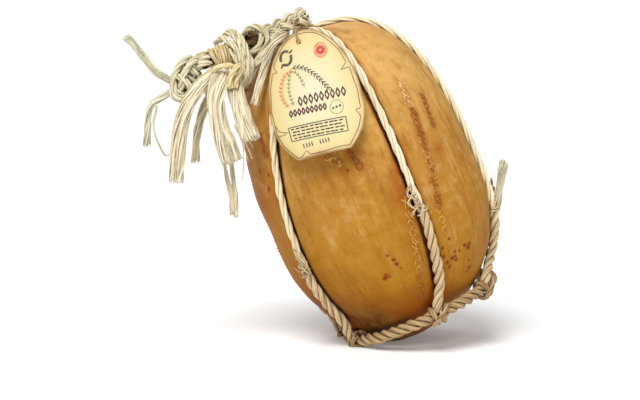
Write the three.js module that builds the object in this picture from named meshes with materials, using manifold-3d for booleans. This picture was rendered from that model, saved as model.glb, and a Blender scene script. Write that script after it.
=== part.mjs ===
// A pear-shaped hanging cheese in its rope harness, leaning as it stands on a table.
// Six ropes run from a crown knot down to a ring round the foot. From the crown a plaited
// handle lies over the left shoulder and ends in a big knot and a tassel of rope ends, and
// a card tag hangs on the front. Millimetres, +Z up, the viewer looks along +Y.
import * as THREE from 'three';
import { mergeVertices } from 'three/addons/utils/BufferGeometryUtils.js';
import Module from 'manifold-3d';

const wasm = await Module();
wasm.setup();

// The cheese
const BODY_LENGTH = 260;
const BODY_RADIUS = 90;
const WAIST_HEIGHT = 108;
const FOOT_SHIFT = 15;
const CROWN_FULLNESS = 2.7;
const VALLEY_DEPTH = 0.04;
const VALLEY_WIDTH = 12;
const BODY_ROWS = 26;
const LOBE_SEGMENTS = 10;

// The way it stands, and how far all of it is moved so that its box is centred
const LEAN = 23.3;
const FOOT_PLACE = 80;
const FLOOR_CUT = 1.6;
const CENTRING = [-2.9, 6];

// The harness, with the bearing of each rope counted from the front towards the right
const ROPE_BEARINGS = [20.4, 83, 143, 199, 255, 306];
const ROPE_SWINGS = [4, 6, -4, 4, -3, 4];
const ROPE_CROWN_SWINGS = [4, 6, -4, 4, -3, 25];
const ROPE_PULLS = [2, 16, 0, 0, 0, 0];
const SPLICE_ANGLES = [88, 72, 84, 78, 88, 80];
const SPLICE_TURN = 2.8;
const ROPE_END_TURN = 3.4;
const CROWN_END_ANGLE = 175.2;
const ROPE_RADIUS_UPPER = 2.9;
const ROPE_RADIUS_LOWER = 4.2;
const ROPE_LIFT = 0.8;
const CROWN_RADIUS = 8.3;
const CROWN_THICKNESS = 7.5;
const RING_RADIUS = 63;
const RING_HEIGHT = 19;
const RING_SHIFT = -2;
const RING_ROPE_RADIUS = 4.4;
const HITCH_ROPE_RADIUS = 2.2;
const HITCH_HALF_WIDTH = 6.5;
const HITCH_SWING = 1.7;
const HITCH_SWING_LIMIT = 6;
const HITCH_TURNS = [95, 55, 15, -25, -65, -105];
const HITCH_BAR_TURN = -20;
const LANDING_TURN = 50;
const ROPE_LEAVES_RIND = 52;
const GAP = 0.35;
const FREE_GAP = 0.5;

// The card tag, in its own plane
const TAG_HALF_WIDTH = 37.2;
const TAG_TOP = 53;
const TAG_BOTTOM = -50;
const TAG_WIDEST = -10;
const TAG_FOOT_HALF_WIDTH = 21.5;
const TAG_CORNER_TURN = -31;
const TAG_CORNER_DROP = 13;
const TAG_THICKNESS = 0.8;
const TAG_BEND_RADIUS = 170;
const TAG_HOLE_RADIUS = 2.2;
const TAG_HOLE_HEIGHT = 43.6;
const TAG_HOLE_SIDE = -3.1;
const TAG_CENTRE = [-16.4, -78.6, 206.5];
const TAG_RIGHT = [0.951, -0.159, 0.266];
const TAG_UP = [-0.183, 0.408, 0.895];

const STRING_RADIUS = 1;
const STRING_BACK = [[-31, -38, 258], [-30, -24, 260], [-28, -10, 261]];

// The handle's plait, binding and knot
const STRAND_RADIUS = 3.2;
const BRAID_TURNS = 1.4;
const BRAID_HALF_WIDTH = 6.8;
const BRAID_HALF_DEPTH = 2.6;
const SPINE_RADIUS = 7;
const BIGHT_RADIUS = 3;
const BINDING_RADIUS = 10.2;
const BINDING_TURNS = 5;
const KNOT_ROPE_RADIUS = 3.8;
const KNOT_HEART_RADIUS = 7.5;
const KNOT_RINGS = [
  { share: 0.1, radius: 5, tilt: 16 },
  { share: 0.36, radius: 6.6, tilt: -20 },
  { share: 0.64, radius: 7, tilt: 22 },
  { share: 0.9, radius: 5.2, tilt: -16 },
];
const TAIL_STEP = 6;
const FAR_TAIL_SPAN = [66, 80];

const STRAW = 0xd9c89a;
const PALE_STRAW = 0xe9e0b8;
const RIND = 0xc8923f;
const PARCHMENT = 0xf1e2ab;

// Routes of the handle and of its free ends
const SPINE_ROUTE = [
  [-54, -14, 244], [-65, -20, 240], [-77, -26, 235], [-90, -29, 231], [-104.5, -31.5, 226.3],
];
const BRAID_START = [-24, -8, 262.6];
const BRAID_END = [-54, -15, 248];
const BRAID_ACROSS = [0.3, 0.62, 0.72];
const BIGHT_ROUTES = [
  [[-72, -14, 240], [-77, -17, 250], [-70, -28, 250], [-63, -36, 240], [-60, -39, 226], [-64, -38, 212],
    [-69, -31, 210]],
  [[-77, -16, 239], [-83, -21, 247], [-76, -33, 247], [-69, -40, 237], [-65, -43, 225], [-68, -42, 214]],
];
const LOOP_ROUTES = [
  [[-66, -14, 246], [-62, -17, 255], [-53, -22, 254], [-46, -26, 246], [-46, -30, 237], [-54, -32, 229],
    [-63, -28, 229]],
  [[-58, -10, 248], [-53, -16, 248], [-50, -22, 241], [-54, -26, 235], [-63, -24, 236]],
];
const BINDING_START = [-81, -26.8, 233.6];
const BINDING_END = [-99.5, -30.8, 226.8];
const KNOT_START = [-110, -32, 226];
const KNOT_END = [-124, -36, 199];

const TAILS = [
  {
    name: 'tail_up',
    radius: 2.9,
    route: [[-122, -36, 211], [-129, -36, 213.6], [-133, -36, 216], [-137, -37, 218.5],
      [-141.5, -37, 222.4], [-146.3, -36, 227.8], [-151, -36, 233.5], [-155, -35, 239],
      [-159, -34, 243.6], [-162, -34, 247]],
  },
  {
    name: 'tail_left',
    radius: 2.6,
    route: [[-122, -36, 207], [-128, -36, 205], [-133, -37, 202], [-138.5, -38, 198.8],
      [-143, -40, 195.5], [-145.5, -40, 190.5], [-146.4, -40, 184], [-146.5, -40, 174],
      [-147.4, -40, 163.4]],
  },
  {
    name: 'tail_front_left',
    radius: 4.2,
    route: [[-94, -36, 223], [-98.5, -40, 218], [-105, -46, 210], [-112, -52, 199], [-117.8, -53, 185],
      [-121.3, -52, 169], [-123.1, -51, 153], [-124.1, -50, 136]],
  },
  {
    name: 'tail_back',
    radius: 3.1,
    route: [[-92, -26, 221], [-93, -26, 213], [-97, -27, 204], [-102, -28, 192], [-106, -28, 180],
      [-109, -28, 165], [-110, -28, 149]],
  },
  {
    name: 'tail_front',
    radius: 5.8,
    route: [[-87, -33, 222], [-88.5, -42, 218], [-91, -51, 210], [-92, -57, 199], [-90, -60, 186],
      [-86.5, -61, 173], [-83.5, -61, 163], [-79.8, -61, 153]],
  },
  {
    name: 'tail_long',
    radius: 2.8,
    route: [[-92, -36, 222], [-93, -40, 214], [-93, -44, 202], [-91, -46, 188], [-88, -47, 172],
      [-84, -47, 154], [-81.8, -47, 138], [-79.8, -47, 125], [-79, -47, 108]],
  },
  {
    name: 'tail_right',
    radius: 5.6,
    route: [[-79, -33, 222], [-78.5, -39, 214], [-76.5, -46, 205], [-73.5, -51.5, 195], [-70, -57, 185],
      [-67.5, -61, 177], [-65, -64, 170.5]],
  },
  {
    name: 'tail_beside_tag',
    radius: 3,
    route: [[-38, -22, 250], [-42.5, -28, 247], [-48, -36, 240], [-52.5, -43, 230], [-56.4, -49, 219],
      [-59.4, -53, 208.4], [-61.7, -55.5, 197.7]],
  },
  {
    name: 'tail_far_side',
    radius: 2.7,
    route: [[128, -13, 103], [131, -13, 112], [133, -13, 123], [135, -13, 135], [137, -13, 146]],
  },
];

const radians = THREE.MathUtils.degToRad;
const point = ([x, y, z]) => new THREE.Vector3(x, y, z);

// The cheese's own frame, from its lower pole along its axis, leans in the standing frame.
const standing = new THREE.Matrix4();

/** A regular polygon as the section of a rope. */
function section(radius, sides) {
  return new THREE.Shape(Array.from({ length: sides }, (_, side) => {
    const angle = (side / sides) * 2 * Math.PI;
    return new THREE.Vector2(radius * Math.cos(angle), radius * Math.sin(angle));
  }));
}

/** A rope of one thickness along a smooth curve through the points. */
function ropeAlong(points, radius, { sides = 8, step = 8 } = {}) {
  const path = new THREE.CatmullRomCurve3(points);
  const steps = Math.max(3, Math.round(path.getLength() / step));
  return new THREE.ExtrudeGeometry(section(radius, sides), { steps, extrudePath: path });
}

/** The solid of a closed geometry, with its shared corners merged and empty triangles dropped. */
function solidOf(geometry) {
  const bare = geometry.clone();
  bare.deleteAttribute('normal');
  bare.deleteAttribute('uv');
  const merged = mergeVertices(bare, 1e-4);
  const triangles = [];
  for (let corner = 0; corner < merged.index.count; corner += 3) {
    const [a, b, c] = [0, 1, 2].map((offset) => merged.index.getX(corner + offset));
    if (a !== b && b !== c && c !== a) triangles.push(a, b, c);
  }
  return new wasm.Manifold(new wasm.Mesh({
    numProp: 3,
    vertProperties: new Float32Array(merged.attributes.position.array),
    triVerts: new Uint32Array(triangles),
  }));
}

/** The largest body of a solid, as a geometry. */
function geometryOf(solid) {
  const bodies = solid.decompose().sort((one, other) => other.volume() - one.volume());
  const mesh = bodies[0].getMesh();
  const geometry = new THREE.BufferGeometry();
  geometry.setAttribute('position', new THREE.BufferAttribute(mesh.vertProperties, mesh.numProp));
  geometry.setIndex(new THREE.BufferAttribute(mesh.triVerts, 1));
  geometry.computeVertexNormals();
  return geometry;
}

/** Solids joined into one. */
function joined(geometries) {
  return geometries.map(solidOf).reduce((whole, piece) => whole.add(piece));
}

/** Radius and height of the cheese's outline, at an angle from the lower pole (0) to the upper (pi). */
function outlineAt(angle) {
  const upper = angle > Math.PI / 2;
  const power = upper ? 2 / CROWN_FULLNESS : 1;
  const rise = Math.abs(Math.cos(angle)) ** power;
  return {
    radius: BODY_RADIUS * Math.sin(angle) ** power,
    height: WAIST_HEIGHT + (upper ? rise * (BODY_LENGTH - WAIST_HEIGHT) : -rise * WAIST_HEIGHT),
  };
}

/** The bearing of one rope, in degrees, at an outline angle: each rope wanders a little. */
function ropeBearing(index, angle) {
  const turns = Math.floor(index / ROPE_BEARINGS.length);
  const rope = index % ROPE_BEARINGS.length;
  const swings = angle > Math.PI / 2 ? ROPE_CROWN_SWINGS : ROPE_SWINGS;
  return ROPE_BEARINGS[rope] + 360 * turns - swings[rope] * Math.cos(angle);
}

/** How far the outline is drawn in at a number of degrees from the nearest rope. */
function valley(degrees, angle) {
  return 1 - VALLEY_DEPTH * Math.exp(-((degrees / VALLEY_WIDTH) ** 2)) * Math.sin(angle) ** 0.5;
}

/** How far the outline's centre has settled sideways towards the side that it leans to. */
function footShift(height) {
  return height < WAIST_HEIGHT ? -FOOT_SHIFT * (1 - height / WAIST_HEIGHT) ** 4 : 0;
}

/** The lobed body in its own frame, swollen by a small amount where a clearance is wanted. */
function bodyGeometry(swell = 0) {
  const profile = [];
  for (let row = 0; row <= BODY_ROWS; row += 1) {
    const { radius, height } = outlineAt((row / BODY_ROWS) * Math.PI);
    profile.push(new THREE.Vector2(row % BODY_ROWS === 0 ? 0 : radius, height));
  }
  const segments = LOBE_SEGMENTS * ROPE_BEARINGS.length;
  const geometry = new THREE.LatheGeometry(profile, segments);
  const { position } = geometry.attributes;
  for (let vertex = 0; vertex < position.count; vertex += 1) {
    const segment = Math.floor(vertex / (BODY_ROWS + 1));
    const angle = ((vertex % (BODY_ROWS + 1)) / BODY_ROWS) * Math.PI;
    const lobe = Math.floor(segment / LOBE_SEGMENTS);
    const share = (segment % LOBE_SEGMENTS) / LOBE_SEGMENTS;
    const start = ropeBearing(lobe, angle);
    const span = ropeBearing(lobe + 1, angle) - start;
    const bearing = radians(start + share * span);
    const inward = valley(Math.min(share, 1 - share) * span, angle);
    const { height } = outlineAt(angle);
    const reach = Math.hypot(position.getX(vertex), position.getZ(vertex)) * inward;
    const radius = reach > 0 ? reach + swell : 0;
    const lift = swell * -Math.cos(angle);
    position.setXYZ(
      vertex, footShift(height) + radius * Math.sin(bearing), -radius * Math.cos(bearing), height + lift);
  }
  return geometry;
}

/** A point of one rope's route over the cheese, raised off the rind by its own radius. */
function ropePoint(rope, angle, ropeRadius) {
  const nudge = 0.01;
  const here = outlineAt(angle);
  const next = outlineAt(angle + nudge);
  const alongRadius = next.radius - here.radius;
  const alongHeight = next.height - here.height;
  const length = Math.hypot(alongRadius, alongHeight);
  const lift = ropeRadius + ROPE_LIFT;
  const radius = here.radius * valley(0, angle) + (lift * alongHeight) / length;
  const height = here.height - (lift * alongRadius) / length;
  const bearing = radians(ropeBearing(rope, angle));
  return new THREE.Vector3(
    footShift(here.height) + radius * Math.sin(bearing), -radius * Math.cos(bearing), height);
}

/** Points of a rope's route between two outline angles, in degrees. */
function ropeRoute(rope, from, to, ropeRadius) {
  const count = Math.max(4, Math.round(Math.abs(to - from) / 7));
  return Array.from({ length: count + 1 }, (_, index) => (
    ropePoint(rope, radians(from + ((to - from) * index) / count), ropeRadius)
  ));
}

/** The bearing of a rope where it meets the foot ring. */
function hitchBearing(rope) {
  const swing = THREE.MathUtils.clamp(ROPE_SWINGS[rope], -HITCH_SWING_LIMIT, HITCH_SWING_LIMIT);
  return ROPE_BEARINGS[rope] - HITCH_SWING * swing - ROPE_PULLS[rope];
}

/** A point beside the foot ring's rope: a turn of 0 is outside it, 90 above it. */
function besideRing(bearing, turn, distance) {
  const radius = RING_RADIUS + distance * Math.cos(radians(turn));
  const height = RING_HEIGHT + distance * Math.sin(radians(turn));
  return new THREE.Vector3(
    RING_SHIFT + radius * Math.sin(radians(bearing)), -radius * Math.cos(radians(bearing)), height);
}

/** The lower rope: down the rind, then straight to the top of the foot ring. */
function lowerRoute(rope) {
  return [
    ...ropeRoute(rope, SPLICE_ANGLES[rope] - ROPE_END_TURN, ROPE_LEAVES_RIND, ROPE_RADIUS_LOWER),
    besideRing(hitchBearing(rope), LANDING_TURN, 2 * ROPE_RADIUS_LOWER),
    besideRing(hitchBearing(rope), LANDING_TURN, 1),
  ];
}

/** The loop that holds a rope to the foot ring: two turns round the ring and a bar across its front. */
function hitchSolid(rope) {
  const wrap = RING_ROPE_RADIUS + HITCH_ROPE_RADIUS + FREE_GAP;
  const middle = hitchBearing(rope);
  const spread = THREE.MathUtils.radToDeg(HITCH_HALF_WIDTH / RING_RADIUS);
  const turns = [-spread, spread].map((aside) => (
    HITCH_TURNS.map((turn) => besideRing(middle + aside, turn, wrap))));
  const bar = [-spread, 0, spread].map((aside) => besideRing(middle + aside, HITCH_BAR_TURN, wrap));
  return [...turns, bar]
    .map((route) => stood(ropeAlong(route, HITCH_ROPE_RADIUS, { sides: 6, step: 6.5 })))
    .reduce((whole, part) => whole.add(part));
}

/** Everything below the floor of the standing frame, as a solid to cut away. */
function belowFloor() {
  const block = new THREE.BoxGeometry(600, 600, 100);
  block.translate(0, 0, -50);
  return solidOf(block);
}

/** A geometry of the cheese's frame, put in the standing frame and cut flat where it meets the floor. */
function stood(geometry) {
  return solidOf(geometry.clone().applyMatrix4(standing)).subtract(belowFloor());
}

/** The foot ring's rope, in the cheese's frame: its section is a circle that closes on itself. */
function ringGeometry(ropeRadius) {
  const sides = 8;
  const profile = Array.from({ length: sides + 1 }, (_, side) => {
    const angle = ((side % sides) / sides) * 2 * Math.PI;
    return new THREE.Vector2(
      RING_RADIUS + ropeRadius * Math.cos(angle), RING_HEIGHT + ropeRadius * Math.sin(angle));
  });
  return new THREE.LatheGeometry(profile, 48).rotateX(Math.PI / 2).translate(RING_SHIFT, 0, 0);
}

/** Lays a geometry modelled along +Z between two points. */
function between(geometry, start, end) {
  const direction = end.clone().sub(start).normalize();
  const turn = new THREE.Quaternion().setFromUnitVectors(new THREE.Vector3(0, 0, 1), direction);
  return geometry.applyQuaternion(turn).translate(start.x, start.y, start.z);
}

/** Three strands plaited along a straight line. */
function braidGeometries() {
  const start = point(BRAID_START);
  const end = point(BRAID_END);
  const along = end.clone().sub(start);
  const across = point(BRAID_ACROSS).addScaledVector(
    along, -point(BRAID_ACROSS).dot(along) / along.lengthSq()).normalize();
  const through = along.clone().normalize().cross(across);
  return [0, 1, 2].map((strand) => {
    const points = Array.from({ length: 13 }, (_, index) => {
      const share = index / 12;
      const phase = 2 * Math.PI * (BRAID_TURNS * share + strand / 3);
      return start.clone().addScaledVector(along, share)
        .addScaledVector(across, BRAID_HALF_WIDTH * Math.sin(phase))
        .addScaledVector(through, BRAID_HALF_DEPTH * Math.sin(2 * phase));
    });
    return ropeAlong(points, STRAND_RADIUS, { sides: 6, step: 6.5 });
  });
}

/** The coil of thin cord that binds the handle: a ribbed sleeve with a bore. */
function bindingGeometry(bore, swell = 0) {
  const start = point(BINDING_START);
  const end = point(BINDING_END);
  const length = start.distanceTo(end);
  const profile = [new THREE.Vector2(bore, length + swell), new THREE.Vector2(bore, -swell)];
  for (let step = 0; step <= 2 * BINDING_TURNS; step += 1) {
    const outer = BINDING_RADIUS + (step % 2 === 0 ? -1 : 1) + swell;
    profile.push(new THREE.Vector2(outer, -swell + ((length + 2 * swell) * step) / (2 * BINDING_TURNS)));
  }
  profile.push(profile[0].clone());
  return between(new THREE.LatheGeometry(profile, 14).rotateX(Math.PI / 2), start, end);
}

/** The big knot at the handle's end: four tilted turns of rope round a solid heart. */
function endKnotGeometries(swell = 0) {
  const start = point(KNOT_START);
  const end = point(KNOT_END);
  const length = start.distanceTo(end);
  const rings = KNOT_RINGS.map(({ share, radius, tilt }) => between(
    new THREE.TorusGeometry(radius, KNOT_ROPE_RADIUS + swell, 6, 10)
      .rotateX(radians(tilt)).translate(0, 0, share * length),
    start, end));
  const heart = new THREE.SphereGeometry(KNOT_HEART_RADIUS + swell, 12, 8)
    .scale(1, 1, (length / 2 + 3) / KNOT_HEART_RADIUS);
  return [...rings, between(heart.translate(0, 0, length / 2), start, end)];
}

/** The tag's outline: an egg with its foot cut straight and its lower corners cut off. */
function tagShape() {
  const outline = [];
  for (let turn = TAG_CORNER_TURN; turn <= 90; turn += 11) {
    const reach = turn > 0 ? TAG_TOP - TAG_WIDEST : TAG_WIDEST - TAG_BOTTOM + TAG_CORNER_DROP;
    outline.push(new THREE.Vector2(
      TAG_HALF_WIDTH * Math.cos(radians(turn)), TAG_WIDEST + reach * Math.sin(radians(turn))));
  }
  outline.unshift(new THREE.Vector2(TAG_FOOT_HALF_WIDTH, TAG_BOTTOM));
  const mirrored = outline.filter((corner) => corner.x > 0.5)
    .map((corner) => new THREE.Vector2(-corner.x, corner.y)).reverse();
  const shape = new THREE.Shape([...outline, ...mirrored]);
  const hole = new THREE.Path(Array.from({ length: 10 }, (_, side) => {
    const angle = (-side / 10) * 2 * Math.PI;
    return new THREE.Vector2(
      TAG_HOLE_SIDE + TAG_HOLE_RADIUS * Math.cos(angle),
      TAG_HOLE_HEIGHT + TAG_HOLE_RADIUS * Math.sin(angle));
  }));
  shape.holes.push(hole);
  return shape;
}

/** The tag's own frame: x to its right, y up it, z out of its face. */
function tagFrame() {
  const right = point(TAG_RIGHT).normalize();
  const up = point(TAG_UP).addScaledVector(right, -point(TAG_UP).dot(right)).normalize();
  const outward = right.clone().cross(up);
  return new THREE.Matrix4().makeBasis(right, up, outward).setPosition(point(TAG_CENTRE));
}

/** The card tag, bent a little round the cheese and set in its plane. */
function tagGeometry() {
  const geometry = new THREE.ExtrudeGeometry(tagShape(), { depth: TAG_THICKNESS, bevelEnabled: false });
  const { position } = geometry.attributes;
  for (let vertex = 0; vertex < position.count; vertex += 1) {
    const x = position.getX(vertex);
    position.setZ(vertex, position.getZ(vertex) - (x * x) / (2 * TAG_BEND_RADIUS));
  }
  return geometry.applyMatrix4(tagFrame());
}

/** The string: out through the tag's hole, up its face, over its top edge and back to the crown. */
function tagStringPoints() {
  const frame = tagFrame();
  const face = [[0, TAG_HOLE_HEIGHT, -3], [0, TAG_HOLE_HEIGHT, 1.2], [-0.3, TAG_HOLE_HEIGHT + 3.5, 3],
    [-0.8, TAG_TOP, 3.2], [-1.2, TAG_TOP + 3.5, 0]]
    .map(([aside, height, out]) => [aside + TAG_HOLE_SIDE, height, out]);
  return [...face.map((place) => point(place).applyMatrix4(frame)), ...STRING_BACK.map(point)];
}

/** The lowest point of the outline once it leans, measured from the lower pole. */
function lowestPoint() {
  const heights = Array.from({ length: 200 }, (_, step) => {
    const { radius, height } = outlineAt((step / 400) * Math.PI);
    const side = footShift(height) - radius;
    return side * Math.sin(radians(LEAN)) + height * Math.cos(radians(LEAN));
  });
  return Math.min(...heights);
}

const object = new THREE.Group();
const placed = new THREE.Group();
placed.position.set(CENTRING[0], CENTRING[1], 0);
object.add(placed);

/** Adds a named piece in its own colour, made of the largest body of a solid. */
function addPiece(name, solid, color, roughness) {
  const mesh = new THREE.Mesh(
    geometryOf(solid), new THREE.MeshStandardMaterial({ color, roughness, metalness: 0 }));
  mesh.name = name;
  placed.add(mesh);
}

/** Adds a named piece of rope. */
function addRope(name, solid, color = STRAW) {
  addPiece(name, solid, color, 0.85);
}

standing.makeRotationY(-radians(LEAN)).setPosition(FOOT_PLACE, 0, -lowestPoint() - FLOOR_CUT);

addPiece('cheese', stood(bodyGeometry()), RIND, 0.45);
addRope('foot_ring', stood(ringGeometry(RING_ROPE_RADIUS)));

// What the ropes have to stay clear of, each a little larger than the thing itself
const rindClearance = stood(bodyGeometry(GAP));
const ringClearance = stood(ringGeometry(RING_ROPE_RADIUS + GAP));
const upperRoute = (rope) => (
  ropeRoute(rope, SPLICE_ANGLES[rope] + ROPE_END_TURN, CROWN_END_ANGLE, ROPE_RADIUS_UPPER));
const lowerClearance = (rope) => stood(ropeAlong(lowerRoute(rope), ROPE_RADIUS_LOWER + GAP, { step: 10 }));
const crownKnot = (swell) => new THREE.SphereGeometry(CROWN_RADIUS + swell, 14, 8).rotateX(Math.PI / 2)
  .scale(1, 1, (CROWN_THICKNESS / 2 + swell) / (CROWN_RADIUS + swell))
  .translate(0, 0, BODY_LENGTH + CROWN_THICKNESS / 2 + GAP);

ROPE_BEARINGS.forEach((_, rope) => {
  const splice = [-SPLICE_TURN, SPLICE_TURN].map((turn) => (
    ropePoint(rope, radians(SPLICE_ANGLES[rope] + turn), ROPE_RADIUS_LOWER)));
  addRope(`rope_${rope}_upper`, stood(ropeAlong(upperRoute(rope), ROPE_RADIUS_UPPER, { step: 11 })));
  addRope(`splice_${rope}`, stood(ropeAlong(splice, ROPE_RADIUS_LOWER)));
  addRope(`rope_${rope}_lower`,
    stood(ropeAlong(lowerRoute(rope), ROPE_RADIUS_LOWER, { step: 10 })).subtract(ringClearance));
  addRope(`hitch_${rope}`, hitchSolid(rope).subtract(lowerClearance(rope)).subtract(rindClearance));
});
addRope('crown_knot', stood(crownKnot(0)));

const harnessClearance = [
  crownKnot(GAP),
  ...ROPE_BEARINGS.map((_, rope) => ropeAlong(upperRoute(rope), ROPE_RADIUS_UPPER + GAP, { step: 11 })),
].map(stood).reduce((whole, part) => whole.add(part), rindClearance);

const handleRopes = (swell) => [
  ...braidGeometries(),
  ropeAlong(SPINE_ROUTE.map(point), SPINE_RADIUS + swell, { sides: 10, step: 9 }),
  ...[...BIGHT_ROUTES, ...LOOP_ROUTES].map((route) => (
    ropeAlong(route.map(point), BIGHT_RADIUS + swell, { sides: 6, step: 9 }))),
];
const handleClearance = joined(handleRopes(GAP)).add(solidOf(bindingGeometry(SPINE_RADIUS - 2, GAP)));
addRope('rope_handle', joined(handleRopes(0)).subtract(harnessClearance)
  .subtract(solidOf(bindingGeometry(SPINE_RADIUS + GAP, GAP))));
addRope('handle_binding', solidOf(bindingGeometry(SPINE_RADIUS + GAP)));
addRope('end_knot', joined(endKnotGeometries()).subtract(handleClearance));

// Each free end keeps clear of the harness, the handle, the knot and the ends before it.
const farRope = ropeAlong(ropeRoute(1, ...FAR_TAIL_SPAN, ROPE_RADIUS_LOWER), ROPE_RADIUS_LOWER + GAP);
const taken = [harnessClearance, handleClearance, joined(endKnotGeometries(GAP)), stood(farRope)];
TAILS.forEach(({ name, radius, route }) => {
  const tail = (swell) => solidOf(ropeAlong(route.map(point), radius + swell, { step: TAIL_STEP + radius }));
  addRope(name, taken.reduce((rest, other) => rest.subtract(other), tail(0)), PALE_STRAW);
  taken.push(tail(GAP));
});

addPiece('tag', solidOf(tagGeometry()), PARCHMENT, 0.6);
addRope('tag_string', solidOf(ropeAlong(tagStringPoints(), STRING_RADIUS, { sides: 5, step: 4.5 }))
  .subtract(harnessClearance).subtract(handleClearance));

export default object;
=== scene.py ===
"""Dresses a whole aged cheese in its straw rope harness.

The cheese leans on its foot. Six ropes run from a knot on its crown to a ring round its foot, a plaited
handle lies over its left shoulder and ends in a knot and a tassel of loose straw, and a card tag hangs on
its front. Lengths in this file are millimetres in the standing frame before it is centred, unless a name
says otherwise, and place() turns them into metres in the object's own frame.
"""

import logging
import math
from dataclasses import dataclass
from enum import Enum
from typing import Sequence

import bpy
import numpy as np
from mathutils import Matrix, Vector, noise
from mathutils.bvhtree import BVHTree


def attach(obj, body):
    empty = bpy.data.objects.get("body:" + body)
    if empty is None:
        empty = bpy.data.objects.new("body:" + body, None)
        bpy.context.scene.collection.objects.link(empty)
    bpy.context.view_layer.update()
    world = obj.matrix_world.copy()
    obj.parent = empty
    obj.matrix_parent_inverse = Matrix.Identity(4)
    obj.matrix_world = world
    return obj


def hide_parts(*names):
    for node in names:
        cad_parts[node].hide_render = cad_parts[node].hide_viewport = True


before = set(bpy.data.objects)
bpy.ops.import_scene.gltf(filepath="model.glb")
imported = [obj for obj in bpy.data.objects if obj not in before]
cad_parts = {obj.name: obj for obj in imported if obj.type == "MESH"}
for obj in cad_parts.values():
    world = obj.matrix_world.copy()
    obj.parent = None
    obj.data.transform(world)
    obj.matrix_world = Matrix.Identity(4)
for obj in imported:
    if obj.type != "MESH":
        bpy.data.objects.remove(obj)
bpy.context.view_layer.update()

LOG = logging.getLogger("cheese")
MM = 0.001
CENTRING = (-2.9, 6.0, 0.0)
ROOT = "root"
TALLEST = 262.0
GOLDEN_TURN = 2.39996
Point = Sequence[float]
Rgba = tuple[float, float, float, float]
CLOSE_KINDS = ("handle_", "end_knot_", "tassel_tie", "hitch_", "splice_", "rind_body", "rope_",
               "foot_ring_", "crown_knot_")
PIECES: dict[str, bpy.types.Object] = {}


def place(points: np.ndarray | Sequence[Point]) -> np.ndarray:
    """Turns millimetres of the standing frame into metres of the object's frame."""
    return (np.asarray(points, float) + np.array(CENTRING)) * MM


def unplace(points: np.ndarray) -> np.ndarray:
    """Turns metres of the object's frame back into millimetres of the standing frame."""
    return points / MM - np.array(CENTRING)


def unit(vector: np.ndarray) -> np.ndarray:
    """Gives a vector's direction."""
    return vector / np.linalg.norm(vector)


def unit_rows(vectors: np.ndarray) -> np.ndarray:
    """Gives the direction of each vector in a row."""
    return vectors / np.linalg.norm(vectors, axis=1, keepdims=True)


def distances(line: np.ndarray) -> np.ndarray:
    """Gives how far along a line each of its points lies."""
    return np.concatenate([[0], np.cumsum(np.linalg.norm(np.diff(line, axis=0), axis=1))])


def between(line: np.ndarray, along: np.ndarray, stops: np.ndarray) -> np.ndarray:
    """Gives the points of a line at some stops, from the places along it of the points it has."""
    return np.stack([np.interp(stops, along, column) for column in line.T], axis=1)


def oval(middle: Sequence[float], half_width: float, half_height: float, turn: np.ndarray) -> np.ndarray:
    """Gives flat points round an oval at some turns in radians."""
    return np.stack([middle[0] + half_width * np.cos(turn), middle[1] + half_height * np.sin(turn)], axis=1)


def colour(code: str) -> Rgba:
    """Turns a hex colour as seen on a screen into the linear colour of a shader.

    Args:
        code: Six hex digits.

    Returns:
        Linear red, green, blue and an alpha of 1.
    """
    shares = [int(code[start:start + 2], 16) / 255 for start in (0, 2, 4)]
    linear = [share / 12.92 if share <= 0.04045 else ((share + 0.055) / 1.055) ** 2.4 for share in shares]
    return (*linear, 1.0)


def smooth_route(points: Sequence[Point], step: float, closed: bool = False) -> np.ndarray:
    """Samples a smooth curve through some points at an even step.

    Args:
        points: The points that the curve passes.
        step: The distance between samples.
        closed: Whether the curve runs back into its start.

    Returns:
        Rows of samples, without a repeated last one on a closed curve.
    """
    given = np.asarray(points, float)
    if closed:
        knots = np.vstack([given[-1], given, given[0], given[1]])
    else:
        knots = np.vstack([2 * given[0] - given[1], given, 2 * given[-1] - given[-2]])
    dense = []
    for index in range(len(knots) - 3):
        p0, p1, p2, p3 = knots[index:index + 4]
        t1 = max(np.linalg.norm(p1 - p0), 1e-6) ** 0.5
        t2 = t1 + max(np.linalg.norm(p2 - p1), 1e-6) ** 0.5
        t3 = t2 + max(np.linalg.norm(p3 - p2), 1e-6) ** 0.5
        t = np.linspace(t1, t2, 24, endpoint=False)[:, None]
        a1 = (t1 - t) / t1 * p0 + t / t1 * p1
        a2 = (t2 - t) / (t2 - t1) * p1 + (t - t1) / (t2 - t1) * p2
        a3 = (t3 - t) / (t3 - t2) * p2 + (t - t2) / (t3 - t2) * p3
        b1 = (t2 - t) / t2 * a1 + t / t2 * a2
        b2 = (t3 - t) / (t3 - t1) * a2 + (t - t1) / (t3 - t1) * a3
        dense.append((t2 - t) / (t2 - t1) * b1 + (t - t1) / (t2 - t1) * b2)
    line = np.vstack([*dense, given[:1] if closed else given[-1:]])
    along = distances(line)
    count = max(4, math.ceil(along[-1] / step))
    even = between(line, along, np.linspace(0, along[-1], count + 1))
    return even[:-1] if closed else even


def route_length(route: np.ndarray, closed: bool = False) -> float:
    """Measures a route of close points.

    Args:
        route: Rows of points.
        closed: Whether the last point joins the first.

    Returns:
        The length, in the points' own unit.
    """
    ends = np.vstack([route, route[:1]]) if closed else route
    return float(np.linalg.norm(np.diff(ends, axis=0), axis=1).sum())


def side_directions(route: np.ndarray) -> tuple[np.ndarray, np.ndarray]:
    """Finds two directions across a route at each of its points, turning as little as they can.

    Args:
        route: Rows of close points.

    Returns:
        Rows of unit vectors across the route, and rows of a second one square to both.
    """
    along = unit_rows(np.gradient(route, axis=0))
    across = [unit(np.cross(along[0], (0.0, 1.0, 0.15)))]
    for direction in along[1:]:
        across.append(unit(across[-1] - direction * float(across[-1] @ direction)))
    first = np.array(across)
    return first, np.cross(along, first)


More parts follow.
